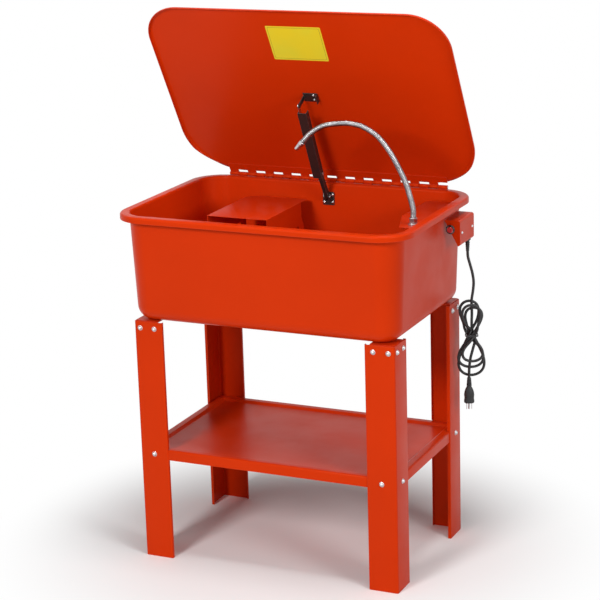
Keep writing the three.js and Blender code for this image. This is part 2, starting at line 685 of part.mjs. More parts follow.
const vanes = [0, 60, 120].map(angle =>
  block(-vaneReach, vaneReach, -1, 1, pumpBase + 2, pumpBase + 7).rotateZ(angle * rad));
put('pump_impeller', join(impeller, ...vanes).translate(pumpX, pumpY, 0), plastic);

// ---- gooseneck ----------------------------------------------------------------------------------
const socketBottom = deckTop - 30;
const socketTop = deckTop + 8;
const socket = turned([
  [0, socketBottom], [8, socketBottom], [8, deckTop + gap], [13, deckTop + gap], [13, deckTop + 5],
  [9, deckTop + 5], [9, socketTop], [0, socketTop],
], 20).translate(hoseX, hoseY, 0);
put('hose_socket', socket, zinc);
const nutTop = socketTop + gap + 11;
put('hose_nut', rod([hoseX, hoseY, socketTop + gap], [hoseX, hoseY, nutTop], 10.5, 6), zinc);

// The tube that feeds the socket, from the pump's outlet up to the deck.
const feed = tube([
  [pumpX, pumpY, outletTop + gap], [pumpX, pumpY, pumpTop + 35], [308, 104, pumpTop + 62],
  [314, 50, pumpTop + 86], [321, -8, pumpTop + 96], [hoseX, hoseY, socketBottom - 14],
  [hoseX, hoseY, socketBottom - gap],
], 6.5, 8, 20);
put('pump_feed_hose', feed, rubber);

const hoseRoute = [
  [hoseX, hoseY, nutTop + gap], [325, hoseY, 912], [318.5, hoseY, 940], [307, hoseY, 976],
  [290, hoseY, 1011], [267, hoseY, 1050], [237, hoseY, 1085], [201, hoseY, 1106], [173, hoseY, 1112], [146, hoseY, 1112.5],
  [97, hoseY, 1104], [61, hoseY, 1083], [40, hoseY, 1061.5],
];
put('gooseneck_hose', tube(hoseRoute, hoseRadius, 10, 44), hoseMetal);

// The nozzle carries on from the hose's end, in the direction of its last stretch.
const nozzleLength = 26;
const nozzle = turned([
  [0, gap], [7.6, gap], [7.6, 9], [5.4, nozzleLength], [3.2, nozzleLength], [3.2, nozzleLength - 8],
  [0, nozzleLength - 8],
], 16);
const hoseCurve = new THREE.CatmullRomCurve3(hoseRoute.map(p => new THREE.Vector3(...p)));
nozzle.applyQuaternion(
  new THREE.Quaternion().setFromUnitVectors(new THREE.Vector3(0, 0, 1), hoseCurve.getTangent(1)));
put('hose_nozzle', nozzle.translate(...hoseCurve.getPoint(1).toArray()), zinc);

// ---- switch box ---------------------------------------------------------------------------------
const boxRound = 6;
const boxWide = boxOuter - boxInner;
const boxHigh = boxTop - boxBottom;
function roundedBlock(inset, y0, y1, x0) {
  const shape = new THREE.Shape();
  const r = boxRound - inset;
  const [left, right] = [x0, boxWide - inset];
  const [low, high] = [inset, boxHigh - inset];
  shape.moveTo(left, low);
  shape.absarc(right - r, low + r, r, -Math.PI / 2, 0);
  shape.absarc(right - r, high - r, r, 0, Math.PI / 2);
  shape.lineTo(left, high);
  return plate(shape, y1 - y0, 4)
    .applyMatrix4(new THREE.Matrix4().set(1, 0, 0, boxInner, 0, 0, -1, y1, 0, 1, 0, boxBottom, 0, 0, 0, 1));
}
const switchBore = rod([switchX, boxFront - 5, switchZ], [switchX, boxFront + 10, switchZ], 9.2, 20);
const leadBore = rod([leadX, leadY, boxBottom - 5], [leadX, leadY, boxBottom + 10], 5.4, 16);
put('switch_box', cut(roundedBlock(0, boxFront, boxRear, 0),
  roundedBlock(boxWall, boxFront + boxWall, boxRear - boxWall, -1), switchBore, leadBore), red);

const bezel = new THREE.Shape().absarc(0, 0, 11.5, 0, 2 * Math.PI);
bezel.holes.push(new THREE.Path().absarc(0, 0, 8.8, 0, 2 * Math.PI, true));
const bezelRing = plate(bezel, 3, 20).rotateX(Math.PI / 2);
put('switch_bezel', bezelRing.translate(switchX, boxFront - gap, switchZ), plastic);

const rockerGroup = new THREE.Group();
rockerGroup.position.set(switchX, boxFront, switchZ);
rockerGroup.rotation.x = rockerTilt * rad;
model.add(rockerGroup);
put('switch_rocker', rod([0, 4, 0], [0, -5.5, 0], rockerRadius, 20), redPlastic, rockerGroup);

// ---- mains lead ---------------------------------------------------------------------------------
const leadRadius = leadDiameter / 2;
const reliefBottom = boxBottom - 32;
const relief = turned([
  [0, reliefBottom], [leadRadius + 1, reliefBottom], [leadRadius + 1.4, boxBottom - 4],
  [8, boxBottom - 3.5], [8, boxBottom - gap], [5, boxBottom - gap], [5, boxBottom + 6], [0, boxBottom + 6],
], 14).translate(leadX, leadY, 0);
put('lead_relief', relief, rubber);

// The hank hangs flat in a plane turned from +X, and its outline has a waist where the tie holds it.
const hankTurn = 25 * rad;
const hankX = 398;
const hankY = 170;
const hankTop = 641;
const hankBottom = 437;
const hankWaist = 549;
const hankHalf = 36;
const waistHalf = 13;
const hankThick = 26;
const leadRoute = [
  [leadX, leadY, reliefBottom - gap], [leadX, leadY, 745], [391, 166.3, 725], [393, 167, 705],
  [395, 168, 685], [397, 169.2, 665], [hankX, hankY, hankTop + gap],
];
put('lead_drop', tube(leadRoute, leadRadius, 10, 10), rubber);

const hankOutline = new THREE.Shape();
hankOutline.moveTo(-waistHalf, hankWaist);
hankOutline.quadraticCurveTo(-hankHalf, hankWaist - 30, -hankHalf, hankWaist - 62);
hankOutline.quadraticCurveTo(-hankHalf, hankBottom, 0, hankBottom);
hankOutline.quadraticCurveTo(hankHalf, hankBottom, hankHalf, hankWaist - 62);
hankOutline.quadraticCurveTo(hankHalf, hankWaist - 30, waistHalf, hankWaist);
hankOutline.quadraticCurveTo(hankHalf * 0.75, hankWaist + 25, hankHalf * 0.75, hankWaist + 50);
hankOutline.quadraticCurveTo(hankHalf * 0.75, hankTop, 0, hankTop);
hankOutline.quadraticCurveTo(-hankHalf * 0.75, hankTop, -hankHalf * 0.75, hankWaist + 50);
hankOutline.quadraticCurveTo(-hankHalf * 0.75, hankWaist + 25, -waistHalf, hankWaist);
const hankBasis = new THREE.Matrix4().makeBasis(
  new THREE.Vector3(Math.cos(hankTurn), Math.sin(hankTurn), 0),
  new THREE.Vector3(0, 0, 1),
  new THREE.Vector3(Math.sin(hankTurn), -Math.cos(hankTurn), 0)).setPosition(hankX, hankY, 0);
const hank = plate(hankOutline, hankThick, 5).translate(0, 0, -hankThick / 2);
put('lead_hank', hank.applyMatrix4(hankBasis), rubber);

// The tie is a band round the waist, kept clear of the hank's flare above and below it.
const tieHalf = 2.5;
const tieRoom = 3;
const bandInner = block(-waistHalf - tieRoom, waistHalf + tieRoom, hankWaist - 9, hankWaist + 9,
  -hankThick / 2 - 0.5, hankThick / 2 + 0.5);
const bandOuter = block(-waistHalf - tieRoom - 2, waistHalf + tieRoom + 2,
  hankWaist - tieHalf, hankWaist + tieHalf, -hankThick / 2 - 2, hankThick / 2 + 2);
put('lead_tie', cut(bandOuter, bandInner).applyMatrix4(hankBasis), plastic);

// The plug hangs under the hank: its relief, its grip, two blades and the earth pin.
const plugX = -7;
const plugTop = hankBottom - gap;
const plugBody = turned([
  [0, plugTop - 66], [9, plugTop - 66], [13, plugTop - 62], [13, plugTop - 44], [9.5, plugTop - 32],
  [leadRadius + 2.2, plugTop - 26], [leadRadius + 1, plugTop], [0, plugTop],
], 16);
const blade = x => block(x - 0.8, x + 0.8, -3.2, 3.2, plugTop - 83, plugTop - 64);
const earthPin = rod([0, 6, plugTop - 86], [0, 6, plugTop - 64], 2.3, 10);
const plugPlace = new THREE.Vector3(plugX, 0, 0).applyMatrix4(hankBasis);
const plug = join(plugBody, blade(-6.3), blade(6.3), earthPin).rotateZ(hankTurn);
put('lead_plug', plug.translate(plugPlace.x, plugPlace.y, 0), rubber);

export default model;
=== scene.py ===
"""Parts washer tank: the looks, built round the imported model. Metres, +Z up, origin on the floor."""
import json
import math

import bmesh
import bpy
from mathutils import Matrix, Vector


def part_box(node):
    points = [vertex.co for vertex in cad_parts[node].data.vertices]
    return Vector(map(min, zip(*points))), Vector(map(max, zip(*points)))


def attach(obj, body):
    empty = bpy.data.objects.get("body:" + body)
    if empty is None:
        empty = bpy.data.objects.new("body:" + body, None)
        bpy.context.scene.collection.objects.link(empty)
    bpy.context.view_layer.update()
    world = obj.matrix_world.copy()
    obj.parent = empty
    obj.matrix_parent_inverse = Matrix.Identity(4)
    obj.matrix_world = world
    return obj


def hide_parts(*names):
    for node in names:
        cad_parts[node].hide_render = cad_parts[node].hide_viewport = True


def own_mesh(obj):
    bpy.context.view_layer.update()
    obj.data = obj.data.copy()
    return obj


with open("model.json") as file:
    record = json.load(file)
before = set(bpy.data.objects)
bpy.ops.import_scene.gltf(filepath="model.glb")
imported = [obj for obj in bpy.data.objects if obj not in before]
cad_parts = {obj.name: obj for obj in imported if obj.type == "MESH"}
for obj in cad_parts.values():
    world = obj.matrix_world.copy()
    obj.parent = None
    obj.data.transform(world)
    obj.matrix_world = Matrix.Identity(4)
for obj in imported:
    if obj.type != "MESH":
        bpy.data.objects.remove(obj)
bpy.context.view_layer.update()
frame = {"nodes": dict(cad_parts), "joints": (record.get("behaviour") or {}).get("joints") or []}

joints = {joint["name"]: joint for joint in frame["joints"]}

# ---- sizes, in metres ---------------------------------------------------------------------------
SHEET = 0.0016                     # tub sheet
RIM_FLANGE = 0.024
RIM_LIP = 0.015
RIM_CORNER = 0.086
TUB_TAPER = 0.011
TUB_FLOOR_RADIUS = 0.035
LEG_FLANGE = 0.077
LEG_SHEET = 0.002
LEG_LIP = 0.008
TOP_BOLT_INSETS = (0.016, 0.055)   # two bolts on each flange at the top of a leg
TOP_BOLT_Z = 0.608
SHELF_BOLT_Z = 0.278
BOLT_HEAD = 0.013
SHELF_SHEET = 0.0015
SHELF_BORDER = 0.023
SHELF_DISH = 0.006
SHELF_CHAMFER = 0.014
LID_SHEET = 0.0015
LID_ROLL = 0.009
LID_FRONT_CORNER = 0.101
LID_REAR_CORNER = 0.141
LID_WIDTH = 0.808
LID_DEPTH = 0.545
LID_REAR_GAP = 0.008
HINGE_RADIUS = 0.005
HINGE_SHEET = 0.0015
KNUCKLE = 0.0255
KNUCKLE_PAIRS = 12
LID_LEAF = 0.030
TUB_LEAF = 0.0145
LEAF_NOTCH = 0.012
GAP = 0.0003
HOSE_RADIUS = 0.007
RIB_PITCH = 0.0034
LEAD_DIAMETER = 0.007

tub_low, tub_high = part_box("tub")
leg_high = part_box("leg_rear_right")[1]
shelf_low, shelf_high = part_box("lower_shelf")
hinge_point = Vector(joints["lid_hinge"]["pos_m"])
lid_open = math.radians(joints["lid_hinge"]["range_deg"][1])
lid_place = Matrix.Translation(hinge_point) @ Matrix.Rotation(-lid_open, 4, "X")
CORNERS = [("front_left", -1, -1), ("front_right", 1, -1), ("rear_right", 1, 1), ("rear_left", -1, 1)]


# ---- camera -------------------------------------------------------------------------------------
def make_camera():
    azimuth, pitch, roll = 0.4351, 0.2737, -0.03
    right = Vector((math.cos(azimuth), math.sin(azimuth), 0))
    forward = Vector((
        -math.sin(azimuth) * math.cos(pitch), math.cos(azimuth) * math.cos(pitch), -math.sin(pitch)))
    up = right.cross(forward)
    across = right * math.cos(roll) + up * math.sin(roll)
    upward = up * math.cos(roll) - right * math.sin(roll)
    data = bpy.data.cameras.new("camera")
    data.lens = 117.69
    data.clip_end = 50
    camera = bpy.data.objects.new("camera", data)
    camera.matrix_world = Matrix((
        (across.x, upward.x, -forward.x, 1.9987),
        (across.y, upward.y, -forward.y, -4.2906),
        (across.z, upward.z, -forward.z, 1.9787),
        (0, 0, 0, 1)))
    bpy.context.scene.collection.objects.link(camera)
    bpy.context.scene.camera = camera


# ---- shader node groups -------------------------------------------------------------------------
def new_group(name, inputs, outputs):
    group = bpy.data.node_groups.new(name, "ShaderNodeTree")
    for label, kind, value in inputs:
        group.interface.new_socket(label, in_out="INPUT", socket_type=kind).default_value = value
    for label, kind in outputs:
        group.interface.new_socket(label, in_out="OUTPUT", socket_type=kind)
    return group, group.nodes.new("NodeGroupInput"), group.nodes.new("NodeGroupOutput")


def maths(tree, operation, a, b=None, clamp=False):
    node = tree.nodes.new("ShaderNodeMath")
    node.operation = operation
    node.use_clamp = clamp
    for socket, value in zip(node.inputs, (a, b)):
        if isinstance(value, bpy.types.NodeSocket):
            tree.links.new(value, socket)
        elif value is not None:
            socket.default_value = value
    return node.outputs[0]


def blended(tree, factor, a, b):
    """A colour between a and b."""
    node = tree.nodes.new("ShaderNodeMix")
    node.data_type = "RGBA"
    for socket, value in zip((node.inputs[0], node.inputs[6], node.inputs[7]), (factor, a, b)):
        if isinstance(value, bpy.types.NodeSocket):
            tree.links.new(value, socket)
        else:
            socket.default_value = value if socket.type == "VALUE" else (*value, 1)
    return node.outputs[2]


def ranged(tree, value, low, high, to_low=0.0, to_high=1.0):
    node = tree.nodes.new("ShaderNodeMapRange")
    node.interpolation_type = "SMOOTHSTEP"
    tree.links.new(value, node.inputs["Value"])
    for label, number in zip(("From Min", "From Max", "To Min", "To Max"), (low, high, to_low, to_high)):
        node.inputs[label].default_value = number
    return node.outputs[0]


def noise(tree, scale, detail=3.0, rough=0.55):
    """Noise on object coordinates. scale is a number or a socket, in cycles per metre."""
    place = tree.nodes.new("ShaderNodeTexCoord")
    node = tree.nodes.new("ShaderNodeTexNoise")
    tree.links.new(place.outputs["Object"], node.inputs["Vector"])
    if isinstance(scale, bpy.types.NodeSocket):
        tree.links.new(scale, node.inputs["Scale"])
    else:
        node.inputs["Scale"].default_value = scale
    node.inputs["Detail"].default_value = detail
    node.inputs["Roughness"].default_value = rough
    return node.outputs[0]


def build_edge_wear_and_sheen():
    """A mask that is 1 along sharp edges, broken up by noise: for worn edges, and on the red paint also for a
    painted highlight along the edges.
    """
    group, into, out = new_group(
        "edge_wear_and_sheen", [("Breakup", "NodeSocketFloat", 90.0), ("Amount", "NodeSocketFloat", 1.0)],
        [("Mask", "NodeSocketFloat")])
    bevel = group.nodes.new("ShaderNodeBevel")
    bevel.samples = 4
    bevel.inputs["Radius"].default_value = 0.0022
    geometry = group.nodes.new("ShaderNodeNewGeometry")
    dot = group.nodes.new("ShaderNodeVectorMath")
    dot.operation = "DOT_PRODUCT"
    group.links.new(bevel.outputs[0], dot.inputs[0])
    group.links.new(geometry.outputs["Normal"], dot.inputs[1])
    bend = maths(group, "SUBTRACT", 1.0, dot.outputs["Value"])
    edge = ranged(group, bend, 0.01, 0.16)
    broken = ranged(group, noise(group, into.outputs["Breakup"]), 0.35, 0.65, 0.35, 1.0)
    patchy = maths(group, "MULTIPLY", edge, broken)
    mask = maths(group, "MULTIPLY", patchy, into.outputs["Amount"], clamp=True)
    group.links.new(mask, out.inputs["Mask"])
    return group


def build_tone_drift():
    """A base colour that drifts a little lighter and darker over the surface."""
    group, into, out = new_group(
        "tone_drift",
        [("Color", "NodeSocketColor", (1, 1, 1, 1)), ("Dark", "NodeSocketColor", (0, 0, 0, 1)),
         ("Scale", "NodeSocketFloat", 3.0), ("Amount", "NodeSocketFloat", 0.2)],
        [("Color", "NodeSocketColor")])
    cloud = ranged(group, noise(group, into.outputs["Scale"], 5.0), 0.3, 0.72)
    share = maths(group, "MULTIPLY", cloud, into.outputs["Amount"])
    group.links.new(blended(group, share, into.outputs["Color"], into.outputs["Dark"]), out.inputs["Color"])
    return group


def build_grain():
    """The height of a fine grain, such as orange peel in paint or the skin of a moulding."""
    group, into, out = new_group(
        "fine_grain",
        [("Scale", "NodeSocketFloat", 500.0), ("Coarse", "NodeSocketFloat", 60.0)],
        [("Height", "NodeSocketFloat")])
    fine = noise(group, into.outputs["Scale"], 2.0)
    coarse = noise(group, into.outputs["Coarse"], 2.0)
    total = maths(group, "ADD", maths(group, "MULTIPLY", fine, 0.6), maths(group, "MULTIPLY", coarse, 0.4))
    group.links.new(total, out.inputs["Height"])
    return group


def build_dust():
    """A mask of thin dust on what faces up."""
    group, into, out = new_group(
        "dust_film", [("Amount", "NodeSocketFloat", 0.2)], [("Mask", "NodeSocketFloat")])
    geometry = group.nodes.new("ShaderNodeNewGeometry")
    split = group.nodes.new("ShaderNodeSeparateXYZ")
    group.links.new(geometry.outputs["Normal"], split.inputs[0])
    upward = ranged(group, split.outputs["Z"], 0.55, 1.0)
    patches = ranged(group, noise(group, 14.0, 6.0, 0.6), 0.4, 0.7)
    mask = maths(group, "MULTIPLY", maths(group, "MULTIPLY", upward, patches), into.outputs["Amount"])
    group.links.new(mask, out.inputs["Mask"])
    return group


EDGE_WEAR_AND_SHEEN = build_edge_wear_and_sheen()
TONE_DRIFT = build_tone_drift()
GRAIN = build_grain()
DUST = build_dust()


# ---- materials ----------------------------------------------------------------------------------
def placed(tree, group, **values):
    node = tree.nodes.new("ShaderNodeGroup")
    node.node_tree = group
    for label, value in values.items():
        node.inputs[label].default_value = (*value, 1) if isinstance(value, tuple) else value
    return node.outputs[0]


def finish(name, color, dark, drift, rough, metal, edge_color, edge_amount, grain_scale, grain_depth,
           dust=0.0, drift_scale=3.0, specular=0.5, coat=0.0, tint=(1, 1, 1)):
    """A painted, plated or moulded surface: drifting tone, worn edges that also carry a painted edge
    highlight, fine grain and a little dust.
    """
    material = bpy.data.materials.new(name)
    material.use_nodes = True
    tree = material.node_tree
    shader = tree.nodes["Principled BSDF"]
    base = placed(tree, TONE_DRIFT, Color=color, Dark=dark, Scale=drift_scale, Amount=drift)
    edge = placed(tree, EDGE_WEAR_AND_SHEEN, Amount=edge_amount)
    # edges mixed towards edge_color: wear, and on the red paint also a painted highlight along the edges
    worn_and_sheened = blended(tree, edge, base, edge_color)
    film = placed(tree, DUST, Amount=dust)
    tree.links.new(blended(tree, film, worn_and_sheened, (0.42, 0.36, 0.31)), shader.inputs["Base Color"])
    uneven = ranged(tree, noise(tree, 9.0, 4.0), 0.3, 0.7, rough - 0.05, rough + 0.06)
    dulled = maths(tree, "ADD", uneven, maths(tree, "MULTIPLY", film, 0.6), clamp=True)
    tree.links.new(dulled, shader.inputs["Roughness"])
    bump = tree.nodes.new("ShaderNodeBump")
    bump.inputs["Strength"].default_value = 1.0
    bump.inputs["Distance"].default_value = grain_depth
    tree.links.new(placed(tree, GRAIN, Scale=grain_scale, Coarse=grain_scale / 8), bump.inputs["Height"])
    tree.links.new(bump.outputs[0], shader.inputs["Normal"])
    shader.inputs["Metallic"].default_value = metal
    shader.inputs["Specular IOR Level"].default_value = specular
    shader.inputs["Specular Tint"].default_value = (*tint, 1)
    shader.inputs["Coat Weight"].default_value = coat
    shader.inputs["Coat Roughness"].default_value = 0.12
    return material


# the red's lighter, pinker edge colour is partly wear and partly a painted highlight along the edges
RED = finish("red_powder_coat", (0.62, 0.033, 0.0016), (0.46, 0.024, 0.0015), 0.25, 0.34, 0.0,
             (0.70, 0.075, 0.045), 0.7, 650.0, 0.00008, dust=0.03, specular=0.13,
             tint=(1.0, 0.5, 0.3))
BLACK = finish("black_enamel", (0.016, 0.018, 0.019), (0.035, 0.02, 0.016), 0.6, 0.36, 0.1,
               (0.16, 0.15, 0.15), 0.7, 700.0, 0.00006, dust=0.12, specular=0.5)
ZINC = finish("zinc_plate", (0.62, 0.62, 0.64), (0.42, 0.41, 0.40), 0.5, 0.30, 1.0,
              (0.8, 0.8, 0.8), 0.5, 900.0, 0.00004, drift_scale=60.0)
HOSE_STEEL = finish("gooseneck_steel", (0.36, 0.36, 0.37), (0.16, 0.16, 0.17), 0.7, 0.3, 1.0,
                    (0.7, 0.7, 0.71), 0.5, 900.0, 0.00003, drift_scale=24.0)
RUBBER = finish("lead_rubber", (0.013, 0.013, 0.014), (0.03, 0.03, 0.03), 0.5, 0.42, 0.0,
                (0.05, 0.05, 0.05), 0.5, 1200.0, 0.00004, drift_scale=12.0, specular=0.45)
MOULDING = finish("black_moulding", (0.018, 0.018, 0.02), (0.032, 0.032, 0.034), 0.4, 0.4, 0.0,
                  (0.07, 0.07, 0.07), 0.5, 1500.0, 0.00005, drift_scale=30.0)
SWITCH_RED = finish("switch_red", (0.56, 0.035, 0.04), (0.42, 0.02, 0.025), 0.3, 0.26, 0.0,
                    (0.7, 0.14, 0.14), 0.6, 1500.0, 0.00002, drift_scale=40.0)
YELLOW = finish("yellow_film", (0.82, 0.63, 0.02), (0.70, 0.66, 0.04), 0.7, 0.36, 0.0,
                (0.86, 0.72, 0.15), 0.3, 500.0, 0.00003, drift_scale=9.0, specular=0.3)
OLIVE = finish("yellow_film_border", (0.30, 0.24, 0.02), (0.36, 0.28, 0.03), 0.4, 0.4, 0.0,
               (0.4, 0.32, 0.05), 0.2, 500.0, 0.00002, drift_scale=30.0)


# ---- shape helpers ------------------------------------------------------------------------------
def filleted(corners, steps=6):
    """Turns a path of (a, b, radius) corners into points, with an arc at each inner corner."""
    points = [Vector(corners[0][:2])]
    for before, (a, b, radius), after in zip(corners, corners[1:], corners[2:]):
        here = Vector((a, b))
        back = (Vector(before[:2]) - here).normalized()
        on = (Vector(after[:2]) - here).normalized()
        half = math.acos(max(-1.0, min(1.0, back.dot(on)))) / 2
        centre = here + (back + on).normalized() * (radius / math.sin(half))
        first = here + back * (radius / math.tan(half)) - centre
        turn = (math.pi - 2 * half) * (1 if on.x * back.y - on.y * back.x > 0 else -1)
        for k in range(steps + 1):
            points.append(centre + Matrix.Rotation(turn * k / steps, 2) @ first)
    points.append(Vector(corners[-1][:2]))
    return points


def offset(path, distance):
    """A path moved sideways by a distance, mitred at its points."""
    moved = []
    for i, point in enumerate(path):
        into = (point - path[i - 1]).normalized() if i else None
        out = (path[i + 1] - point).normalized() if i + 1 < len(path) else into
        into = into or out
        along = (into + out).normalized()
        reach = distance / max(along.dot(into), 0.5)
        moved.append(point + Vector((-along.y, along.x)) * reach)
    return moved


def strip(path, sheet):
    """The closed outline of a bent strip of sheet."""
    return offset(path, sheet / 2) + offset(path, -sheet / 2)[::-1]


def rounded_loop(outline, grow, z, steps):
    """A rectangle (left, right, front, rear, front corner, rear corner), grown outwards."""
    left, right, front, rear, front_corner, rear_corner = outline
    loop = []
    for x, y, side_x, side_y, corner, start in (
            (right, rear, 1, 1, rear_corner, 0), (left, rear, -1, 1, rear_corner, 90),
            (left, front, -1, -1, front_corner, 180), (right, front, 1, -1, front_corner, 270)):
        radius = max(corner + grow, 0.003)
        centre_x = x + side_x * (grow - radius)
        centre_y = y + side_y * (grow - radius)
        for k in range(steps + 1):
            angle = math.radians(start + 90 * k / steps)
            loop.append(Vector((
                centre_x + radius * math.cos(angle), centre_y + radius * math.sin(angle), z)))
    return loop


def loft(loops):
    """Skins rings of points into a closed mesh. A ring of one point is a pole."""
    mesh = bmesh.new()
    rings = [[mesh.verts.new(point) for point in loop] for loop in loops]
    for low, high in zip(rings, rings[1:]):
        count = max(len(low), len(high))
        for k in range(count):
            n = (k + 1) % count
            if len(low) == 1:
                mesh.faces.new((low[0], high[n], high[k]))
            elif len(high) == 1:
                mesh.faces.new((low[k], low[n], high[0]))
            else:
                mesh.faces.new((low[k], low[n], high[n], high[k]))
    for ring in (rings[0], rings[-1]):
        if len(ring) > 1:
            mesh.faces.new(ring)
    bmesh.ops.recalc_face_normals(mesh, faces=mesh.faces)
    return mesh


def pressing(outline, path, sheet, steps):
    """A pressed tray. The path's (grow, z) points run from the middle panel to the free edge."""
    skin = offset(path, -sheet / 2) + offset(path, sheet / 2)[::-1]
    return [rounded_loop(outline, grow, z, steps) for grow, z in skin]


def ring(radius, z, sides):
    """A level ring of points round the Z axis."""
    return [Vector((radius * math.cos(math.tau * k / sides), radius * math.sin(math.tau * k / sides), z))
            for k in range(sides)]


def hoop(rings):
    """Skins rings of points into a closed band: the last ring joins the first."""
    mesh = bmesh.new()
    rings = [[mesh.verts.new(point) for point in points] for points in rings]
    for low, high in zip(rings, rings[1:] + rings[:1]):
        for k in range(len(low)):
            n = (k + 1) % len(low)
            mesh.faces.new((low[k], low[n], high[n], high[k]))
    bmesh.ops.recalc_face_normals(mesh, faces=mesh.faces)
    return mesh


def turned(profile, sides=32):
    """A turned piece about +Z: (radius, height) pairs from the axis back to the axis."""
    return loft([
        [Vector((0, 0, height))] if radius < 1e-6 else ring(radius, height, sides)
        for radius, height in profile])


def slab(outline, thickness):
    """A flat outline of (x, y) points made into a plate from z = 0 up."""
    return loft([[Vector((x, y, 0)) for x, y in outline], [Vector((x, y, thickness)) for x, y in outline]])


def block(low, high):
    (x0, y0, z0), (x1, y1, z1) = low, high
    return loft([[Vector((x, y, z)) for x, y in ((x0, y0), (x1, y0), (x1, y1), (x0, y1))] for z in (z0, z1)])


def merged(*parts):
    """Puts several closed shells in one mesh."""
    whole = bmesh.new()
    for part in parts:
        data = bpy.data.meshes.new("part")
        part.to_mesh(data)
        part.free()
        whole.from_mesh(data)
        bpy.data.meshes.remove(data)
    return whole


def moved(mesh, matrix):
    bmesh.ops.transform(mesh, matrix=matrix, verts=mesh.verts)
    return mesh


def smoothed(data, angle=38):
    for polygon in data.polygons:
        polygon.use_smooth = True
    data.set_sharp_from_angle(angle=math.radians(angle))


def show(name, mesh, material, body, replaced=(), bevel=0.0, segments=2, angle=38):
    """Makes a piece of a mesh: rounds its edges, gives it its finish and puts it on its body."""
    data = bpy.data.meshes.new(name)
    mesh.to_mesh(data)
    mesh.free()
    smoothed(data, angle)
    data.materials.append(material)
    piece = bpy.data.objects.new(name, data)
    bpy.context.scene.collection.objects.link(piece)
    if bevel:
        rounding = piece.modifiers.new("rounding", "BEVEL")
        rounding.width = bevel
        rounding.segments = segments
        rounding.limit_method = "ANGLE"
        rounding.angle_limit = math.radians(35)
        rounding.harden_normals = True
    return settle(piece, body, replaced)


def settle(piece, body, replaced=()):
    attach(piece, body)
    if replaced:
        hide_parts(*replaced)
    return piece


def softened(node, name, material, body, bevel=0.0004):
    """A copy of a hard-edged node, with its flat faces joined up and its edges rounded."""
    mesh = bmesh.new()
    mesh.from_mesh(frame["nodes"][node].data)
    bmesh.ops.remove_doubles(mesh, verts=mesh.verts, dist=1e-6)
    bmesh.ops.dissolve_limit(mesh, angle_limit=math.radians(0.5), verts=mesh.verts, edges=mesh.edges)
    return show(name, mesh, material, body, [node], bevel, 2)


def catmull(points, step):
    """A smooth line through the points, with a point about every step."""
    padded = [points[0] * 2 - points[1], *points, points[-1] * 2 - points[-2]]
    line = []
    for a, b, c, d in zip(padded, padded[1:], padded[2:], padded[3:]):
        count = max(1, round((c - b).length / step))
        for k in range(count):
            t = k / count
            line.append(0.5 * (2 * b + (c - a) * t + (2 * a - 5 * b + 4 * c - d) * t * t
                               + (3 * b - a - 3 * c + d) * t ** 3))
    line.append(points[-1].copy())
    return line


# ---- geometry node trees ------------------------------------------------------------------------
def new_tree(name, inputs):
    tree = bpy.data.node_groups.new(name, "GeometryNodeTree")
    tree.interface.new_socket("Geometry", in_out="INPUT", socket_type="NodeSocketGeometry")
    for label, kind in inputs:
        tree.interface.new_socket(label, in_out="INPUT", socket_type=kind)
    tree.interface.new_socket("Geometry", in_out="OUTPUT", socket_type="NodeSocketGeometry")
    return tree, tree.nodes.new("NodeGroupInput"), tree.nodes.new("NodeGroupOutput")


def ended(tree, into, out, geometry):
    """Every tree ends in Realize Instances and Set Material."""
    real = tree.nodes.new("GeometryNodeRealizeInstances")
    painted = tree.nodes.new("GeometryNodeSetMaterial")
    tree.links.new(geometry, real.inputs["Geometry"])
    tree.links.new(real.outputs[0], painted.inputs["Geometry"])
    tree.links.new(into.outputs["Material"], painted.inputs["Material"])
    tree.links.new(painted.outputs[0], out.inputs["Geometry"])
    return tree


def build_fastener_tree():
    """Stands one fastener on each vertex, along the vertex's facing."""
    tree, into, out = new_tree("fasteners_on_points", [
        ("Fastener", "NodeSocketObject"), ("Size", "NodeSocketFloat"), ("Material", "NodeSocketMaterial")])
    facing = tree.nodes.new("GeometryNodeInputNamedAttribute")
    facing.data_type = "FLOAT_VECTOR"
    facing.inputs["Name"].default_value = "facing"
    turn = tree.nodes.new("FunctionNodeAlignRotationToVector")
    turn.axis = "Z"
    tree.links.new(facing.outputs["Attribute"], turn.inputs["Vector"])
    pattern = tree.nodes.new("GeometryNodeObjectInfo")
    tree.links.new(into.outputs["Fastener"], pattern.inputs["Object"])
    copies = tree.nodes.new("GeometryNodeInstanceOnPoints")
    tree.links.new(into.outputs["Geometry"], copies.inputs["Points"])
    tree.links.new(pattern.outputs["Geometry"], copies.inputs["Instance"])
    tree.links.new(turn.outputs[0], copies.inputs["Rotation"])
    tree.links.new(into.outputs["Size"], copies.inputs["Scale"])
    return ended(tree, into, out, copies.outputs[0])


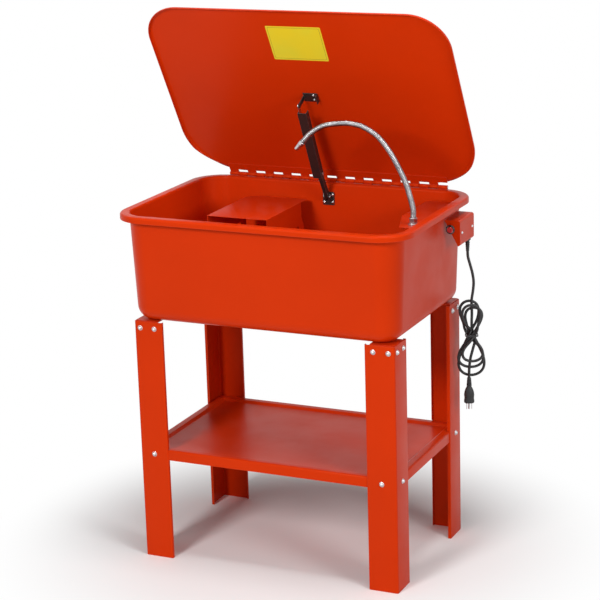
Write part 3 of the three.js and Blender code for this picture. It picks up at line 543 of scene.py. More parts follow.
def build_hose_tree():
    """A strip-wound hose along a polyline: its radius swells once in every pitch."""
    tree, into, out = new_tree("strip_wound_hose", [
        ("Radius", "NodeSocketFloat"), ("Rib Depth", "NodeSocketFloat"), ("Pitch", "NodeSocketFloat"),
        ("Material", "NodeSocketMaterial")])

    def sum_of(operation, a, b=None):
        node = tree.nodes.new("ShaderNodeMath")
        node.operation = operation
        for socket, value in zip(node.inputs, (a, b)):
            if isinstance(value, bpy.types.NodeSocket):
                tree.links.new(value, socket)
            elif value is not None:
                socket.default_value = value
        return node.outputs[0]

    line = tree.nodes.new("GeometryNodeMeshToCurve")
    even = tree.nodes.new("GeometryNodeResampleCurve")
    even.mode = "LENGTH"
    along = tree.nodes.new("GeometryNodeSplineParameter")
    wave = sum_of("ABSOLUTE", sum_of("SINE", sum_of(
        "MULTIPLY", sum_of("DIVIDE", along.outputs["Length"], into.outputs["Pitch"]), math.pi)))
    swell = sum_of("MULTIPLY", sum_of("POWER", wave, 0.6), into.outputs["Rib Depth"])
    thick = sum_of("ADD", sum_of("SUBTRACT", into.outputs["Radius"], into.outputs["Rib Depth"]), swell)
    ring = tree.nodes.new("GeometryNodeCurvePrimitiveCircle")
    ring.inputs["Resolution"].default_value = 20
    ring.inputs["Radius"].default_value = 1.0
    skin = tree.nodes.new("GeometryNodeCurveToMesh")
    skin.inputs["Fill Caps"].default_value = True
    tree.links.new(into.outputs["Geometry"], line.inputs["Mesh"])
    tree.links.new(line.outputs[0], even.inputs["Curve"])
    tree.links.new(sum_of("DIVIDE", into.outputs["Pitch"], 6.0), even.inputs["Length"])
    tree.links.new(even.outputs[0], skin.inputs["Curve"])
    tree.links.new(ring.outputs[0], skin.inputs["Profile Curve"])
    tree.links.new(thick, skin.inputs["Scale"])
    return ended(tree, into, out, skin.outputs[0])


def build_knuckle_tree():
    """Adds a row of hinge knuckles along +X to a leaf."""
    tree, into, out = new_tree("hinge_knuckles", [
        ("Count", "NodeSocketInt"), ("Start", "NodeSocketVector"), ("Step", "NodeSocketVector"),
        ("Knuckle", "NodeSocketObject"), ("Material", "NodeSocketMaterial")])
    row = tree.nodes.new("GeometryNodeMeshLine")
    row.mode = "OFFSET"
    tree.links.new(into.outputs["Count"], row.inputs["Count"])
    tree.links.new(into.outputs["Start"], row.inputs["Start Location"])
    tree.links.new(into.outputs["Step"], row.inputs["Offset"])
    pattern = tree.nodes.new("GeometryNodeObjectInfo")
    tree.links.new(into.outputs["Knuckle"], pattern.inputs["Object"])
    copies = tree.nodes.new("GeometryNodeInstanceOnPoints")
    tree.links.new(row.outputs[0], copies.inputs["Points"])
    tree.links.new(pattern.outputs["Geometry"], copies.inputs["Instance"])
    both = tree.nodes.new("GeometryNodeJoinGeometry")
    tree.links.new(into.outputs["Geometry"], both.inputs[0])
    tree.links.new(copies.outputs[0], both.inputs[0])
    return ended(tree, into, out, both.outputs[0])


FASTENERS = build_fastener_tree()
HOSE = build_hose_tree()
KNUCKLES = build_knuckle_tree()


def grown(name, base, tree, values):
    """Runs a tree on a mesh, and keeps the result as a plain mesh object."""
    carrier = bpy.data.objects.new("carrier", base)
    bpy.context.scene.collection.objects.link(carrier)
    modifier = carrier.modifiers.new("grow", "NODES")
    modifier.node_group = tree
    sockets = {
        item.name: item.identifier for item in tree.interface.items_tree if item.in_out == "INPUT"}
    for label, value in values.items():
        modifier[sockets[label]] = value
    bpy.context.view_layer.update()
    result = bpy.data.meshes.new_from_object(
        carrier.evaluated_get(bpy.context.evaluated_depsgraph_get()))
    result.name = name
    bpy.data.objects.remove(carrier)
    piece = bpy.data.objects.new(name, result)
    bpy.context.scene.collection.objects.link(piece)
    return piece


def pattern_object(name, mesh, angle=38):
    """A mesh that a tree copies, and that is removed again afterwards."""
    data = bpy.data.meshes.new(name)
    mesh.to_mesh(data)
    mesh.free()
    smoothed(data, angle)
    pattern = bpy.data.objects.new(name, data)
    bpy.context.scene.collection.objects.link(pattern)
    return pattern


def fasteners(name, places, pattern, size, material, body, replaced=()):
    """One piece of copies of a fastener. places are (point, facing) pairs."""
    base = bpy.data.meshes.new(name + "_points")
    base.from_pydata([point for point, _ in places], [], [])
    facing = base.attributes.new("facing", "FLOAT_VECTOR", "POINT")
    for item, (_, direction) in zip(facing.data, places):
        item.vector = direction
    piece = grown(name, base, FASTENERS, {"Fastener": pattern, "Size": size, "Material": material})
    return settle(piece, body, replaced)


def domed_head():
    """A domed hexagon-flange head of unit diameter, standing on z = 0."""
    return turned([
        (0, 0), (0.5, 0), (0.5, 0.05), (0.47, 0.085), (0.40, 0.10), (0.36, 0.24), (0.30, 0.33),
        (0.20, 0.39), (0.08, 0.42), (0, 0.42)], 24)


def hexagon_nut():
    """A hexagon nut of unit width across its corners, standing on z = 0, with the bolt's end in it."""
    nut = loft([ring(0.46, 0, 6), ring(0.5, 0.03, 6), ring(0.5, 0.35, 6), ring(0.44, 0.39, 6)])
    end = turned([(0, 0.38), (0.24, 0.38), (0.24, 0.5), (0.2, 0.53), (0, 0.53)], 16)
    return merged(nut, end)


# ---- mains lead ---------------------------------------------------------------------------------
HANK_TURN = math.radians(25)
HANK_X, HANK_Y, HANK_WAIST = 0.398, 0.170, 0.549
hank_place = Matrix((
    (math.cos(HANK_TURN), math.sin(HANK_TURN), 0, HANK_X),
    (math.sin(HANK_TURN), -math.cos(HANK_TURN), 0, HANK_Y),
    (0, 0, 1, 0),
    (0, 0, 0, 1)))           # x along the hank, y out of its plane, z up


def hank_strand(slot, waist_depth, above, below, width, height, tilt, first, last, count):
    """A stretch of a figure of eight, from angle first to angle last. height is above or below."""
    points = []
    for k in range(count):
        angle = math.radians(first + (last - first) * k / (count - 1))
        x = width * math.sin(2 * angle)
        z = height * math.sin(angle)
        x, z = (x * math.cos(tilt) + z * math.sin(tilt), z * math.cos(tilt) - x * math.sin(tilt))
        near = math.exp(-(z / 0.02) ** 2) * math.pi / 2
        layer = above if z > 0 else below
        x += slot * math.sin(near)
        depth = layer * math.cos(near) + waist_depth * math.sin(near)
        points.append(hank_place @ Vector((x, depth, HANK_WAIST + z)))
    return points


def lead_route():
    """Down from the box, three times round the hank, and out to the plug."""
    drop = [Vector(p) for p in (
        (0.390, 0.166, 0.7677), (0.391, 0.166, 0.752), (0.3965, 0.1665, 0.732), (0.402, 0.1675, 0.710),
        (0.4045, 0.1685, 0.688), (0.4025, 0.1695, 0.666), (0.3985, 0.170, 0.6413))]
    layers = (-0.0097, -0.0032, 0.0097)
    upper = ((0.0235, 0.087, -0.08), (0.021, 0.071, 0.11), (0.0225, 0.081, -0.03))
    lower = ((0.0325, 0.1085, 0.0), (0.0315, 0.085, 0.03), (0.0255, 0.066, -0.03))
    up_slots = (-0.0070, 0.0, 0.0070)
    down_slots = (0.0031, -0.0093, -0.0031, 0.0093)
    route = list(drop)
    route += [hank_place @ Vector((x, depth, HANK_WAIST + z)) for x, depth, z in (
        (0.0006, 0.0012, 0.074), (0.0006, 0.0028, 0.054), (0.0, 0.0024, 0.034), (0.0012, -0.0008, 0.016))]
    for turn in range(3):
        route += hank_strand(down_slots[turn], -0.0045, 0.0, layers[turn], lower[turn][0],
                             lower[turn][1], lower[turn][2], 180 if turn else 184, 270, 13)[:-1]
        route += hank_strand(up_slots[turn], 0.0045, layers[turn], layers[turn], lower[turn][0],
                             lower[turn][1], lower[turn][2], 270, 356, 13)
        route += hank_strand(up_slots[turn], 0.0045, layers[turn], layers[turn], upper[turn][0],
                             upper[turn][1], upper[turn][2], 4, 90, 13)[:-1]
        route += hank_strand(down_slots[turn + 1], -0.0045, layers[turn], layers[turn], upper[turn][0],
                             upper[turn][1], upper[turn][2], 90, 176 if turn < 2 else 177, 13)
    plug_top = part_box("lead_plug")[1].z
    route += [hank_place @ Vector((x, depth, z)) for x, depth, z in (
        (0.0085, -0.0030, HANK_WAIST - 0.016), (0.0030, 0.0010, HANK_WAIST - 0.036),
        (-0.0035, 0.0032, HANK_WAIST - 0.060), (-0.0065, 0.0030, HANK_WAIST - 0.084),
        (-0.0070, 0.0010, plug_top + 0.012), (-0.0070, 0.0, plug_top - 0.010))]
    return route


def make_lead():
    line = catmull(lead_route(), 0.004)
    curve = bpy.data.curves.new("mains_lead", "CURVE")
    curve.dimensions = "3D"
    curve.bevel_depth = LEAD_DIAMETER / 2
    curve.bevel_resolution = 4
    curve.use_fill_caps = True
    spline = curve.splines.new("POLY")
    spline.points.add(len(line) - 1)
    for point, place in zip(spline.points, line):
        point.co = (*place, 1)
    spline.use_smooth = True
    curve.materials.append(RUBBER)
    lead = bpy.data.objects.new("mains_lead", curve)
    bpy.context.scene.collection.objects.link(lead)
    settle(lead, "root", ["lead_drop", "lead_hank"])
    make_tie()
    make_plug()


def make_tie():
    """A wire tie drawn round the waist of the hank."""
    outer = [(-0.0165, -0.0115), (0.0165, -0.0115), (0.0165, 0.0115), (-0.0165, 0.0115)]

    def band(grow, z):
        loop = []
        for (x, y), start in zip(outer, (180, 270, 0, 90)):
            for k in range(7):
                angle = math.radians(start + 15 * k)
                loop.append(Vector((
                    math.copysign(abs(x) - 0.006, x) + (0.006 + grow) * math.cos(angle),
                    math.copysign(abs(y) - 0.006, y) + (0.006 + grow) * math.sin(angle), z)))
        return loop
    low, high = HANK_WAIST - 0.0022, HANK_WAIST + 0.0022
    mesh = hoop([[hank_place @ point for point in band(grow, z)]
                 for grow, z in ((-0.0012, low), (0, low), (0, high), (-0.0012, high))])
    return show("lead_tie_band", mesh, MOULDING, "root", ["lead_tie"], 0.0003)


def make_plug():
    """A moulded plug: ribbed relief, shoulders and grip, with two blades and an earth pin."""
    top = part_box("lead_plug")[1].z
    place = Matrix.Translation(hank_place @ Vector((-0.007, 0, 0))) @ Matrix.Rotation(HANK_TURN, 4, "Z")
    sections = [(0.0044, 0.0044, 0)]
    for k in range(5):
        depth = 0.002 + k * 0.0042
        wide = 0.0046 + 0.00035 * k
        for half, below in ((wide + 0.0006, 0), (wide + 0.0006, 0.002), (wide - 0.0002, 0.0026),
                            (wide - 0.0002, 0.0038)):
            sections.append((half, half, depth + below))
    sections += [(0.0072, 0.0068, 0.0255), (0.0098, 0.0088, 0.031), (0.0120, 0.0102, 0.038),
                 (0.0130, 0.0108, 0.046), (0.0122, 0.0098, 0.051), (0.0122, 0.0098, 0.056),
                 (0.0130, 0.0110, 0.060), (0.0130, 0.0112, 0.0645), (0.0118, 0.0100, 0.066)]
    loops = []
    for half_x, half_y, depth in sections:
        loop = []
        for k in range(32):
            angle = math.tau * k / 32
            power = 2 / 2.6
            x = half_x * math.copysign(abs(math.cos(angle)) ** power, math.cos(angle))
            y = half_y * math.copysign(abs(math.sin(angle)) ** power, math.sin(angle))
            loop.append(Vector((x, y, top - depth)))
        loops.append(loop)
    body = show("mains_plug", moved(loft(loops), place), RUBBER, "root", ["lead_plug"], angle=30)
    blades = [block((x - 0.0008, -0.0032, top - 0.083), (x + 0.0008, 0.0032, top - 0.065))
              for x in (-0.0063, 0.0063)]
    pin = moved(turned([(0, -0.086), (0.0012, -0.086), (0.0023, -0.084), (0.0023, -0.065), (0, -0.065)], 16),
                Matrix.Translation((0, 0.006, top)))
    metal = show("plug_blades", moved(merged(*blades, pin), place), ZINC, "root", bevel=0.0003)
    return body, metal


def make_relief():
    """The tapered, ribbed relief under the box, with its collar."""
    low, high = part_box("lead_relief")
    profile = [(0, low.z), (LEAD_DIAMETER / 2 + 0.0006, low.z)]
    for k in range(5):
        base = low.z + 0.001 + k * 0.0046
        radius = LEAD_DIAMETER / 2 + 0.0009 + 0.0003 * k
        profile += [(radius, base), (radius, base + 0.0026), (radius - 0.0008, base + 0.0032),
                    (radius - 0.0008, base + 0.0042)]
    profile += [(0.0055, high.z - 0.0105), (0.008, high.z - 0.0098), (0.008, high.z - 0.0066),
                (0.0076, high.z - 0.0063), (0.005, high.z - 0.0063), (0.005, high.z), (0, high.z)]
    centre = (low + high) / 2
    mesh = moved(turned(profile, 28), Matrix.Translation((centre.x, centre.y, 0)))
    show("lead_relief_sleeve", mesh, RUBBER, "root", ["lead_relief"], angle=30)


# ---- tub ----------------------------------------------------------------------------------------
def make_tub():
    outline = (tub_low.x + RIM_FLANGE, tub_high.x - RIM_FLANGE, tub_low.y + RIM_FLANGE,
               tub_high.y - RIM_FLANGE, RIM_CORNER - RIM_FLANGE, RIM_CORNER - RIM_FLANGE)
    floor = tub_low.z + SHEET / 2
    rim = tub_high.z - SHEET / 2
    lip = RIM_FLANGE - SHEET / 2
    path = filleted([
        (-0.12, floor), (-0.06, floor, 0.3), (-TUB_TAPER, floor, TUB_FLOOR_RADIUS), (0, rim, 0.005),
        (lip, rim, 0.005), (lip, tub_high.z - RIM_LIP)], 8)
    path = [point for i, point in enumerate(path) if i == 0 or (point - path[i - 1]).length > 1e-5]
    show("tub_pressing", loft(pressing(outline, path, SHEET, 20)), RED, "root", ["tub"],
         0.0005, 2)


def make_drain():
    place = Matrix.Translation((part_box("drain_plug")[0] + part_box("drain_plug")[1]) / 2)
    low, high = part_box("drain_plug")
    middle = (low.z + high.z) / 2
    head = ring(0.014, low.z - middle, 6)
    top = low.z - middle + 0.0062
    hexagon = loft([[p * 0.94 for p in head], [Vector((p.x, p.y, p.z + 0.0008)) for p in head],
                    [Vector((p.x, p.y, top)) for p in head]])
    for vertex in hexagon.verts[:6]:
        vertex.co.z = low.z - middle
    stem = turned([(0, top), (0.016, top), (0.016, top + 0.0028), (0.009, top + 0.0028),
                   (0.009, high.z - middle - 0.001), (0.0082, high.z - middle), (0, high.z - middle)], 28)
    show("drain_plug_hex", moved(merged(hexagon, stem), place), ZINC, "drain", ["drain_plug"], 0.0003)
    softened("drain_gasket", "drain_washer", RUBBER, "drain", 0.0003)


# ---- legs and lower shelf -----------------------------------------------------------------------
def corner_outline(path, side_x, side_y):
    """An outline given inwards from the corner at +X +Y, moved to the corner with the given sides."""
    return [Vector((side_x * (leg_high.x - u), side_y * (leg_high.y - v), 0)) for u, v in path]


def make_legs():
    middle = LEG_FLANGE - LEG_SHEET / 2
    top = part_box("leg_front_left")[1].z
    slot_low, slot_high = shelf_low.z - 0.002, shelf_high.z + 0.002

    def section(lip):
        return strip(filleted([
            (middle, lip), (middle, LEG_SHEET / 2, 0.002), (LEG_SHEET / 2, LEG_SHEET / 2, 0.004),
            (LEG_SHEET / 2, middle, 0.002), (lip, middle)], 5), LEG_SHEET)
    full, short = section(LEG_LIP), section(0.0032)
    levels = [(0, full), (slot_low, full), (slot_low + 0.0004, short), (slot_high - 0.0004, short),
              (slot_high, full), (top, full)]
    for name, side_x, side_y in CORNERS:
        loops = []
        for z, outline in levels:
            loops.append([point + Vector((0, 0, z)) for point in corner_outline(outline, side_x, side_y)])
        show("angle_leg_" + name, loft(loops), RED, "root", ["leg_" + name], 0.0004, 2)
        softened("bracket_" + name, "gusset_" + name, RED, "root", 0.0004)


def bolt_places(depths):
    """(point, facing) of the bolts of the four corners, with the depth of each kind inside the leg."""
    places = []
    for _, side_x, side_y in CORNERS:
        for insets, z, depth in ((TOP_BOLT_INSETS, TOP_BOLT_Z, depths[0]),
                                 ((LEG_FLANGE / 2,), SHELF_BOLT_Z, depths[1])):
            for inset in insets:
                places.append((Vector((side_x * (leg_high.x - depth), side_y * (leg_high.y - inset), z)),
                               Vector((side_x, 0, 0))))
                places.append((Vector((side_x * (leg_high.x - inset), side_y * (leg_high.y - depth), z)),
                               Vector((0, side_y, 0))))
    return places


def make_bolts():
    replaced = [f"bolt_{name}_{level}_{side}" for name, _, _ in CORNERS
                for level in ("top", "shelf") for side in "xy"]
    head = pattern_object("head_pattern", domed_head())
    fasteners("leg_bolt_heads", bolt_places((0.0, 0.0)), head, BOLT_HEAD, ZINC, "root", replaced)
    nut = pattern_object("nut_pattern", hexagon_nut())
    inside = [(point, -facing) for point, facing in bolt_places((0.0048, 0.0038))]
    fasteners("leg_bolt_nuts", inside, nut, 0.0105, ZINC, "root")
    for pattern in (head, nut):
        bpy.data.objects.remove(pattern)


def make_lower_shelf():
    outline = (shelf_low.x, shelf_high.x, shelf_low.y, shelf_high.y, SHELF_CHAMFER, SHELF_CHAMFER)
    middle = shelf_high.z - SHELF_SHEET / 2
    path = filleted([
        (-SHELF_BORDER - 0.05, middle - SHELF_DISH), (-SHELF_BORDER - 0.004, middle - SHELF_DISH, 0.004),
        (-SHELF_BORDER + 0.004, middle, 0.004), (-SHELF_SHEET / 2, middle, 0.004),
        (-SHELF_SHEET / 2, shelf_low.z)], 6)
    show("lower_shelf_tray", loft(pressing(outline, path, SHELF_SHEET, 3)), RED, "root",
         ["lower_shelf"], 0.0004, 2)


# ---- lid, hinge and plate -----------------------------------------------------------------------
def make_lid():
    under = HINGE_RADIUS + GAP
    middle = under + LID_SHEET / 2
    bottom = tub_high.z + 0.001 - hinge_point.z
    outline = (-LID_WIDTH / 2, LID_WIDTH / 2, -LID_DEPTH, -LID_REAR_GAP, LID_FRONT_CORNER, LID_REAR_CORNER)
    path = filleted([(-0.07, middle), (-LID_SHEET / 2, middle, LID_ROLL), (-LID_SHEET / 2, bottom)], 10)
    loops = pressing(outline, path, LID_SHEET, 24)
    for loop in loops:
        for point in loop:
            share = min(1.0, max(0.0, (-point.y - LID_LEAF - 0.003) / 0.05))
            point.z = max(point.z, under + (bottom - under) * share)      # the rim fades out at the hinge
    show("lid_pressing", moved(loft(loops), lid_place), RED, "lid", ["lid"], 0.0004, 2)


def leaf(width, low, high, taken):
    """A hinge leaf's strip, notched where the other leaf's knuckles are."""
    half = KNUCKLE * KNUCKLE_PAIRS
    play = 0.0004
    edge = []
    for pair in range(KNUCKLE_PAIRS):
        start = -half + (2 * pair + taken) * KNUCKLE
        notch = [(start - play, -0.001), (start - play, -LEAF_NOTCH),
                 (start + KNUCKLE + play, -LEAF_NOTCH), (start + KNUCKLE + play, -0.001)]
        edge += notch
    if taken:
        edge = [(-half, -0.001)] + edge[:-2] + [(half, -LEAF_NOTCH)]
    else:
        edge = [(-half, -LEAF_NOTCH)] + edge[2:] + [(half, -0.001)]
    outline = [(-half, -width), *edge, (half, -width)]
    return moved(slab(outline, high - low), Matrix.Translation((0, 0, low)))


def make_hinge():
    half = KNUCKLE * KNUCKLE_PAIRS
    length = KNUCKLE - 0.0008
    knuckle = turned([(0, 0), (HINGE_RADIUS - 0.0004, 0), (HINGE_RADIUS, 0.0004),
                      (HINGE_RADIUS, length - 0.0004), (HINGE_RADIUS - 0.0004, length), (0, length)], 20)
    shape = pattern_object("knuckle_pattern", moved(knuckle, Matrix.Rotation(math.pi / 2, 4, "Y")), 60)
    step = (2 * KNUCKLE, 0, 0)
    for name, taken, place, body, replaced, low, width in (
            ("lid_hinge_leaf", 1, lid_place, "lid", "hinge_leaf_lid", HINGE_RADIUS - HINGE_SHEET, LID_LEAF),
            ("tub_hinge_leaf", 0, Matrix.Translation(hinge_point), "root", "hinge_leaf_tub",
             -HINGE_RADIUS, TUB_LEAF)):
        base = bpy.data.meshes.new(name)
        sheet = leaf(width, low, low + HINGE_SHEET, taken)
        sheet.to_mesh(base)
        sheet.free()
        first = -half + (0.0004 if taken else KNUCKLE + 0.0004)
        piece = grown(name, base, KNUCKLES, {
            "Count": KNUCKLE_PAIRS, "Start": (first, 0, 0), "Step": step, "Knuckle": shape, "Material": RED})
        piece.data.transform(place)
        settle(piece, body, [replaced])
    bpy.data.objects.remove(shape)
    pin = turned([(0, -half - 0.0006), (0.0022, -half - 0.0006), (0.0025, -half), (0.0025, half),
                  (0.0022, half + 0.0006), (0, half + 0.0006)], 16)
    place = Matrix.Translation(hinge_point) @ Matrix.Rotation(math.pi / 2, 4, "Y")
    show("hinge_pin_rod", moved(pin, place), ZINC, "root", ["hinge_pin"])


def make_plate():
    """A plain yellow plate on the inside of the lid, with a thin border line."""
    left, right = -0.075, 0.0715
    near, far = -0.389, -0.492
    face = HINGE_RADIUS + GAP

    def rounded(inset, corner):
        return rounded_loop((left + inset, right - inset, far + inset, near - inset, corner, corner), 0, 0, 5)
    sheet = loft([[point + Vector((0, 0, z)) for point in rounded(0, 0.003)] for z in (face - 0.0004, face)])
    show("lid_plate", moved(sheet, lid_place), YELLOW, "lid")
    rings = []
    for inset, z in ((0.004, face - 0.0005), (0.0048, face - 0.0005), (0.0048, face - 0.0003),
                     (0.004, face - 0.0003)):
        rings.append([point + Vector((0, 0, z)) for point in rounded(inset, 0.002)])
    mesh = hoop(rings)
    show("lid_plate_border", moved(mesh, lid_place), OLIVE, "lid")


def make_stay():
    softened("stay_lower_arm", "stay_lower_bar", BLACK, "stay_lower", 0.0005)
    softened("stay_upper_arm", "stay_channel", BLACK, "stay_upper", 0.0005)
    softened("fusible_link", "fusible_strap", ZINC, "stay_upper", 0.0003)
    softened("fusible_link_rivet", "fusible_strap_rivet", ZINC, "stay_upper", 0.0004)
    softened("stay_knee_pin", "stay_knee_rivet", ZINC, "stay_upper", 0.0004)
    softened("stay_bracket", "stay_wall_bracket", BLACK, "root", 0.0005)
    softened("stay_pivot_pin", "stay_wall_rivet", ZINC, "root", 0.0004)
    softened("lid_bracket", "stay_lid_bracket", BLACK, "lid", 0.0005)
    head = pattern_object("screw_pattern", domed_head())
    low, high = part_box("stay_bracket")
    wall = [(Vector((x, high.y - 0.0025, z)), Vector((0, -1, 0)))
            for x in (low.x + 0.0042, high.x - 0.0042) for z in (low.z + 0.007, high.z - 0.007)]
    fasteners("wall_bracket_screws", wall, head, 0.0075, ZINC, "root")
    face = HINGE_RADIUS + GAP * 2 + 0.002
    turned_down = lid_place.to_3x3() @ Vector((0, 0, -1))
    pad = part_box("lid_bracket")
    lid_screws = [(lid_place @ Vector((x, -0.272 + y, face - 0.0046)), turned_down)
                  for x, y in ((pad[1].x - 0.011, -0.007), (pad[1].x - 0.011, 0.007))]
    fasteners("lid_bracket_screws", lid_screws, head, 0.0075, ZINC, "lid")
    bpy.data.objects.remove(head)


# ---- inside the tub -----------------------------------------------------------------------------
def make_pump_deck():
    softened("pump_deck", "pump_deck_plate", RED, "root", 0.0006)


def make_work_shelf():
    softened("work_shelf", "raised_shelf", RED, "root", 0.0006)


def make_pump():
    low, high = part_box("pump_body")
    x, y = joints["impeller_spin"]["pos_m"][:2]
    foot = low.z
    base = foot + 0.008
    profile = [(0, base + 0.040), (0.0033, base + 0.040), (0.0033, base + 0.016), (0.021, base + 0.016),
               (0.021, base), (0.0262, base), (0.027, base + 0.0008)]
    for k in range(5):
        slot = base + 0.003 + k * 0.0044
        profile += [(0.027, slot), (0.0264, slot + 0.0006), (0.0264, slot + 0.0018), (0.027, slot + 0.0024)]
    top = high.z - 0.016
    profile += [(0.027, base + 0.0262), (0.0245, base + 0.0305), (0.021, base + 0.032), (0.021, top - 0.010),
                (0.0195, top - 0.006), (0.0155, top - 0.002), (0.013, top), (0.0062, top),
                (0.006, high.z - 0.011),
                (0.0066, high.z - 0.010), (0.006, high.z - 0.008), (0.0066, high.z - 0.006),
                (0.006, high.z - 0.004), (0.0058, high.z), (0, high.z)]
    parts = [moved(turned(profile, 36), Matrix.Translation((x, y, 0)))]
    for k in range(3):
        angle = math.tau * k / 3
        foot_place = Matrix.Translation((x + 0.023 * math.cos(angle), y + 0.023 * math.sin(angle), 0))
        parts.append(moved(turned([(0, foot), (0.003, foot), (0.0036, foot + 0.001), (0.0036, base + 0.004),
                                   (0, base + 0.004)], 16), foot_place))
    show("pump_housing", merged(*parts), MOULDING, "root", ["pump_body"], angle=30)
    softened("pump_impeller", "impeller_wheel", MOULDING, "impeller", 0.0002)
    softened("pump_feed_hose", "feed_hose", RUBBER, "root", 0)


# ---- gooseneck ----------------------------------------------------------------------------------
HOSE_ROUTE = ((0.325, 0.8936), (0.325, 0.912), (0.3185, 0.940), (0.307, 0.976), (0.290, 1.011),
              (0.267, 1.050), (0.237, 1.085), (0.201, 1.106), (0.173, 1.112), (0.146, 1.1125),
              (0.097, 1.104), (0.061, 1.083), (0.040, 1.0615))


def make_gooseneck():
    swivel = Vector(joints["gooseneck_swivel"]["pos_m"])
    line = catmull([Vector((x, swivel.y, z)) for x, z in HOSE_ROUTE], 0.003)
    base = bpy.data.meshes.new("hose_line")
    base.from_pydata(line, [(k, k + 1) for k in range(len(line) - 1)], [])
    hose = grown("ribbed_gooseneck", base, HOSE, {
        "Radius": HOSE_RADIUS, "Rib Depth": 0.0011, "Pitch": RIB_PITCH, "Material": HOSE_STEEL})
    smoothed(hose.data, 60)
    settle(hose, "gooseneck", ["gooseneck_hose"])
    tip, along = line[-1], (line[-1] - line[-2]).normalized()
    profile = [(0, 0.0003), (0.0070, 0.0003), (0.0076, 0.001), (0.0076, 0.0085), (0.0070, 0.0095),
               (0.0066, 0.012), (0.0058, 0.019), (0.0056, 0.0235), (0.0050, 0.026), (0.0036, 0.026),
               (0.0032, 0.0252), (0.0032, 0.018), (0, 0.018)]
    place = Matrix.Translation(tip) @ along.to_track_quat("Z", "Y").to_matrix().to_4x4()
    nozzle = show("spout", moved(turned(profile), place), ZINC, "gooseneck", ["hose_nozzle"],
                  angle=30)
    for piece in (hose, nozzle):
        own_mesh(piece)
    low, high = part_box("hose_nut")

    nut = loft([ring(0.0099, low.z, 6), ring(0.0105, low.z + 0.0006, 6), ring(0.0105, high.z - 0.0006, 6),
                ring(0.0099, high.z, 6)])
    nut = moved(nut, Matrix.Translation((swivel.x, swivel.y, 0)))
    show("gooseneck_nut", nut, ZINC, "gooseneck", ["hose_nut"], 0.0003)
    softened("hose_socket", "deck_socket", ZINC, "root", 0.0004)


# ---- switch box ---------------------------------------------------------------------------------
def make_switch_box():
    softened("switch_box", "switch_housing", RED, "root", 0.0012)
    low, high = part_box("switch_box")
    head = pattern_object("screw_pattern", domed_head())
    outer = [(Vector((high.x, y, (low.z + high.z) / 2)), Vector((1, 0, 0)))
             for y in (low.y + 0.014, high.y - 0.014)]
    fasteners("switch_box_screws", outer, head, 0.007, ZINC, "root")
    bpy.data.objects.remove(head)
    pivot = Vector(joints["switch_rock"]["pos_m"])
    front = Matrix.Translation((pivot.x, low.y, pivot.z)) @ Matrix.Rotation(math.pi / 2, 4, "X")
    section = [(0.0088, 0.0003), (0.0115, 0.0003), (0.0115, 0.0018), (0.0108, 0.0028), (0.0095, 0.0033),
               (0.0088, 0.0029)]
    mesh = hoop([ring(radius, height, 40) for radius, height in section])
    show("switch_ring", moved(mesh, front), MOULDING, "root", ["switch_bezel"])
    tilt = Matrix.Translation(pivot) @ Matrix.Rotation(math.radians(7), 4, "X") @ Matrix.Rotation(
        math.pi / 2, 4, "X")
    profile = [(0, -0.004), (0.0068, -0.004), (0.0076, -0.003), (0.0076, 0.0044), (0.0070, 0.0052),
               (0.0058, 0.0055), (0.003, 0.0051), (0, 0.0050)]
    show("rocker_button", moved(turned(profile), tilt), SWITCH_RED, "rocker",
         ["switch_rocker"], angle=30)


# ---- stage --------------------------------------------------------------------------------------
def shown_rays(tree):
    """1 for what the camera sees, directly, in a reflection or through glass."""
    path = tree.nodes.new("ShaderNodeLightPath")
    seen = maths(tree, "MAXIMUM", path.outputs["Is Camera Ray"], path.outputs["Is Glossy Ray"])
    return maths(tree, "MAXIMUM", seen, path.outputs["Is Transmission Ray"])


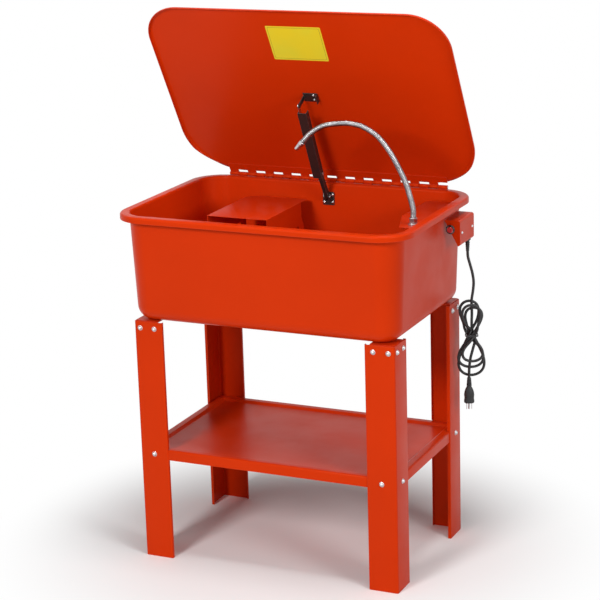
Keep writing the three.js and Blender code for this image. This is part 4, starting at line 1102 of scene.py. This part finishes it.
def make_stage():
    world = bpy.data.worlds.new("studio")
    world.use_nodes = True
    tree = world.node_tree
    background = tree.nodes["Background"]
    background.inputs["Color"].default_value = (1, 1, 1, 1)
    tree.links.new(maths(tree, "MAXIMUM", shown_rays(tree), 0.2), background.inputs["Strength"])
    bpy.context.scene.world = world

    floor_material = bpy.data.materials.new("studio_floor")
    floor_material.use_nodes = True
    tree = floor_material.node_tree
    shader = tree.nodes["Principled BSDF"]
    shader.inputs["Base Color"].default_value = (0.9, 0.9, 0.9, 1)
    shader.inputs["Roughness"].default_value = 0.9
    shader.inputs["Specular IOR Level"].default_value = 0.1
    glow = tree.nodes.new("ShaderNodeEmission")
    glow.inputs["Color"].default_value = (1, 1, 1, 1)
    place = tree.nodes.new("ShaderNodeTexCoord")
    far = tree.nodes.new("ShaderNodeVectorMath")
    far.operation = "LENGTH"
    tree.links.new(place.outputs["Object"], far.inputs[0])
    fade = ranged(tree, far.outputs["Value"], 0.35, 0.85)
    mixed = tree.nodes.new("ShaderNodeMixShader")
    tree.links.new(maths(tree, "MULTIPLY", fade, shown_rays(tree)), mixed.inputs[0])
    tree.links.new(shader.outputs[0], mixed.inputs[1])
    tree.links.new(glow.outputs[0], mixed.inputs[2])
    tree.links.new(mixed.outputs[0], tree.nodes["Material Output"].inputs["Surface"])
    half = 12.0
    data = bpy.data.meshes.new("floor")
    data.from_pydata([(-half, -half, -0.0005), (half, -half, -0.0005), (half, half, -0.0005),
                      (-half, half, -0.0005)], [], [(0, 1, 2, 3)])
    data.materials.append(floor_material)
    floor = bpy.data.objects.new("floor", data)
    bpy.context.scene.collection.objects.link(floor)

    for name, place, size, power in (
            ("key", (-0.6, -3.6, 2.5), 1.0, 88), ("side", (3.2, -1.6, 1.9), 1.2, 40),
            ("top", (0.6, -0.4, 3.2), 0.8, 34)):
        light = bpy.data.lights.new(name, "AREA")
        light.shape = "DISK"
        light.size = size
        light.energy = power
        lamp = bpy.data.objects.new(name, light)
        lamp.location = place
        aim = Vector((0, 0, 0.75)) - Vector(place)
        lamp.rotation_mode = "QUATERNION"
        lamp.rotation_quaternion = aim.to_track_quat("-Z", "Y")
        bpy.context.scene.collection.objects.link(lamp)
    bpy.context.scene.view_settings.view_transform = "Standard"


make_camera()
make_lead()
make_relief()
make_tub()
make_drain()
make_legs()
make_bolts()
make_lower_shelf()
make_lid()
make_hinge()
make_plate()
make_stay()
make_pump_deck()
make_work_shelf()
make_pump()
make_gooseneck()
make_switch_box()
make_stage()
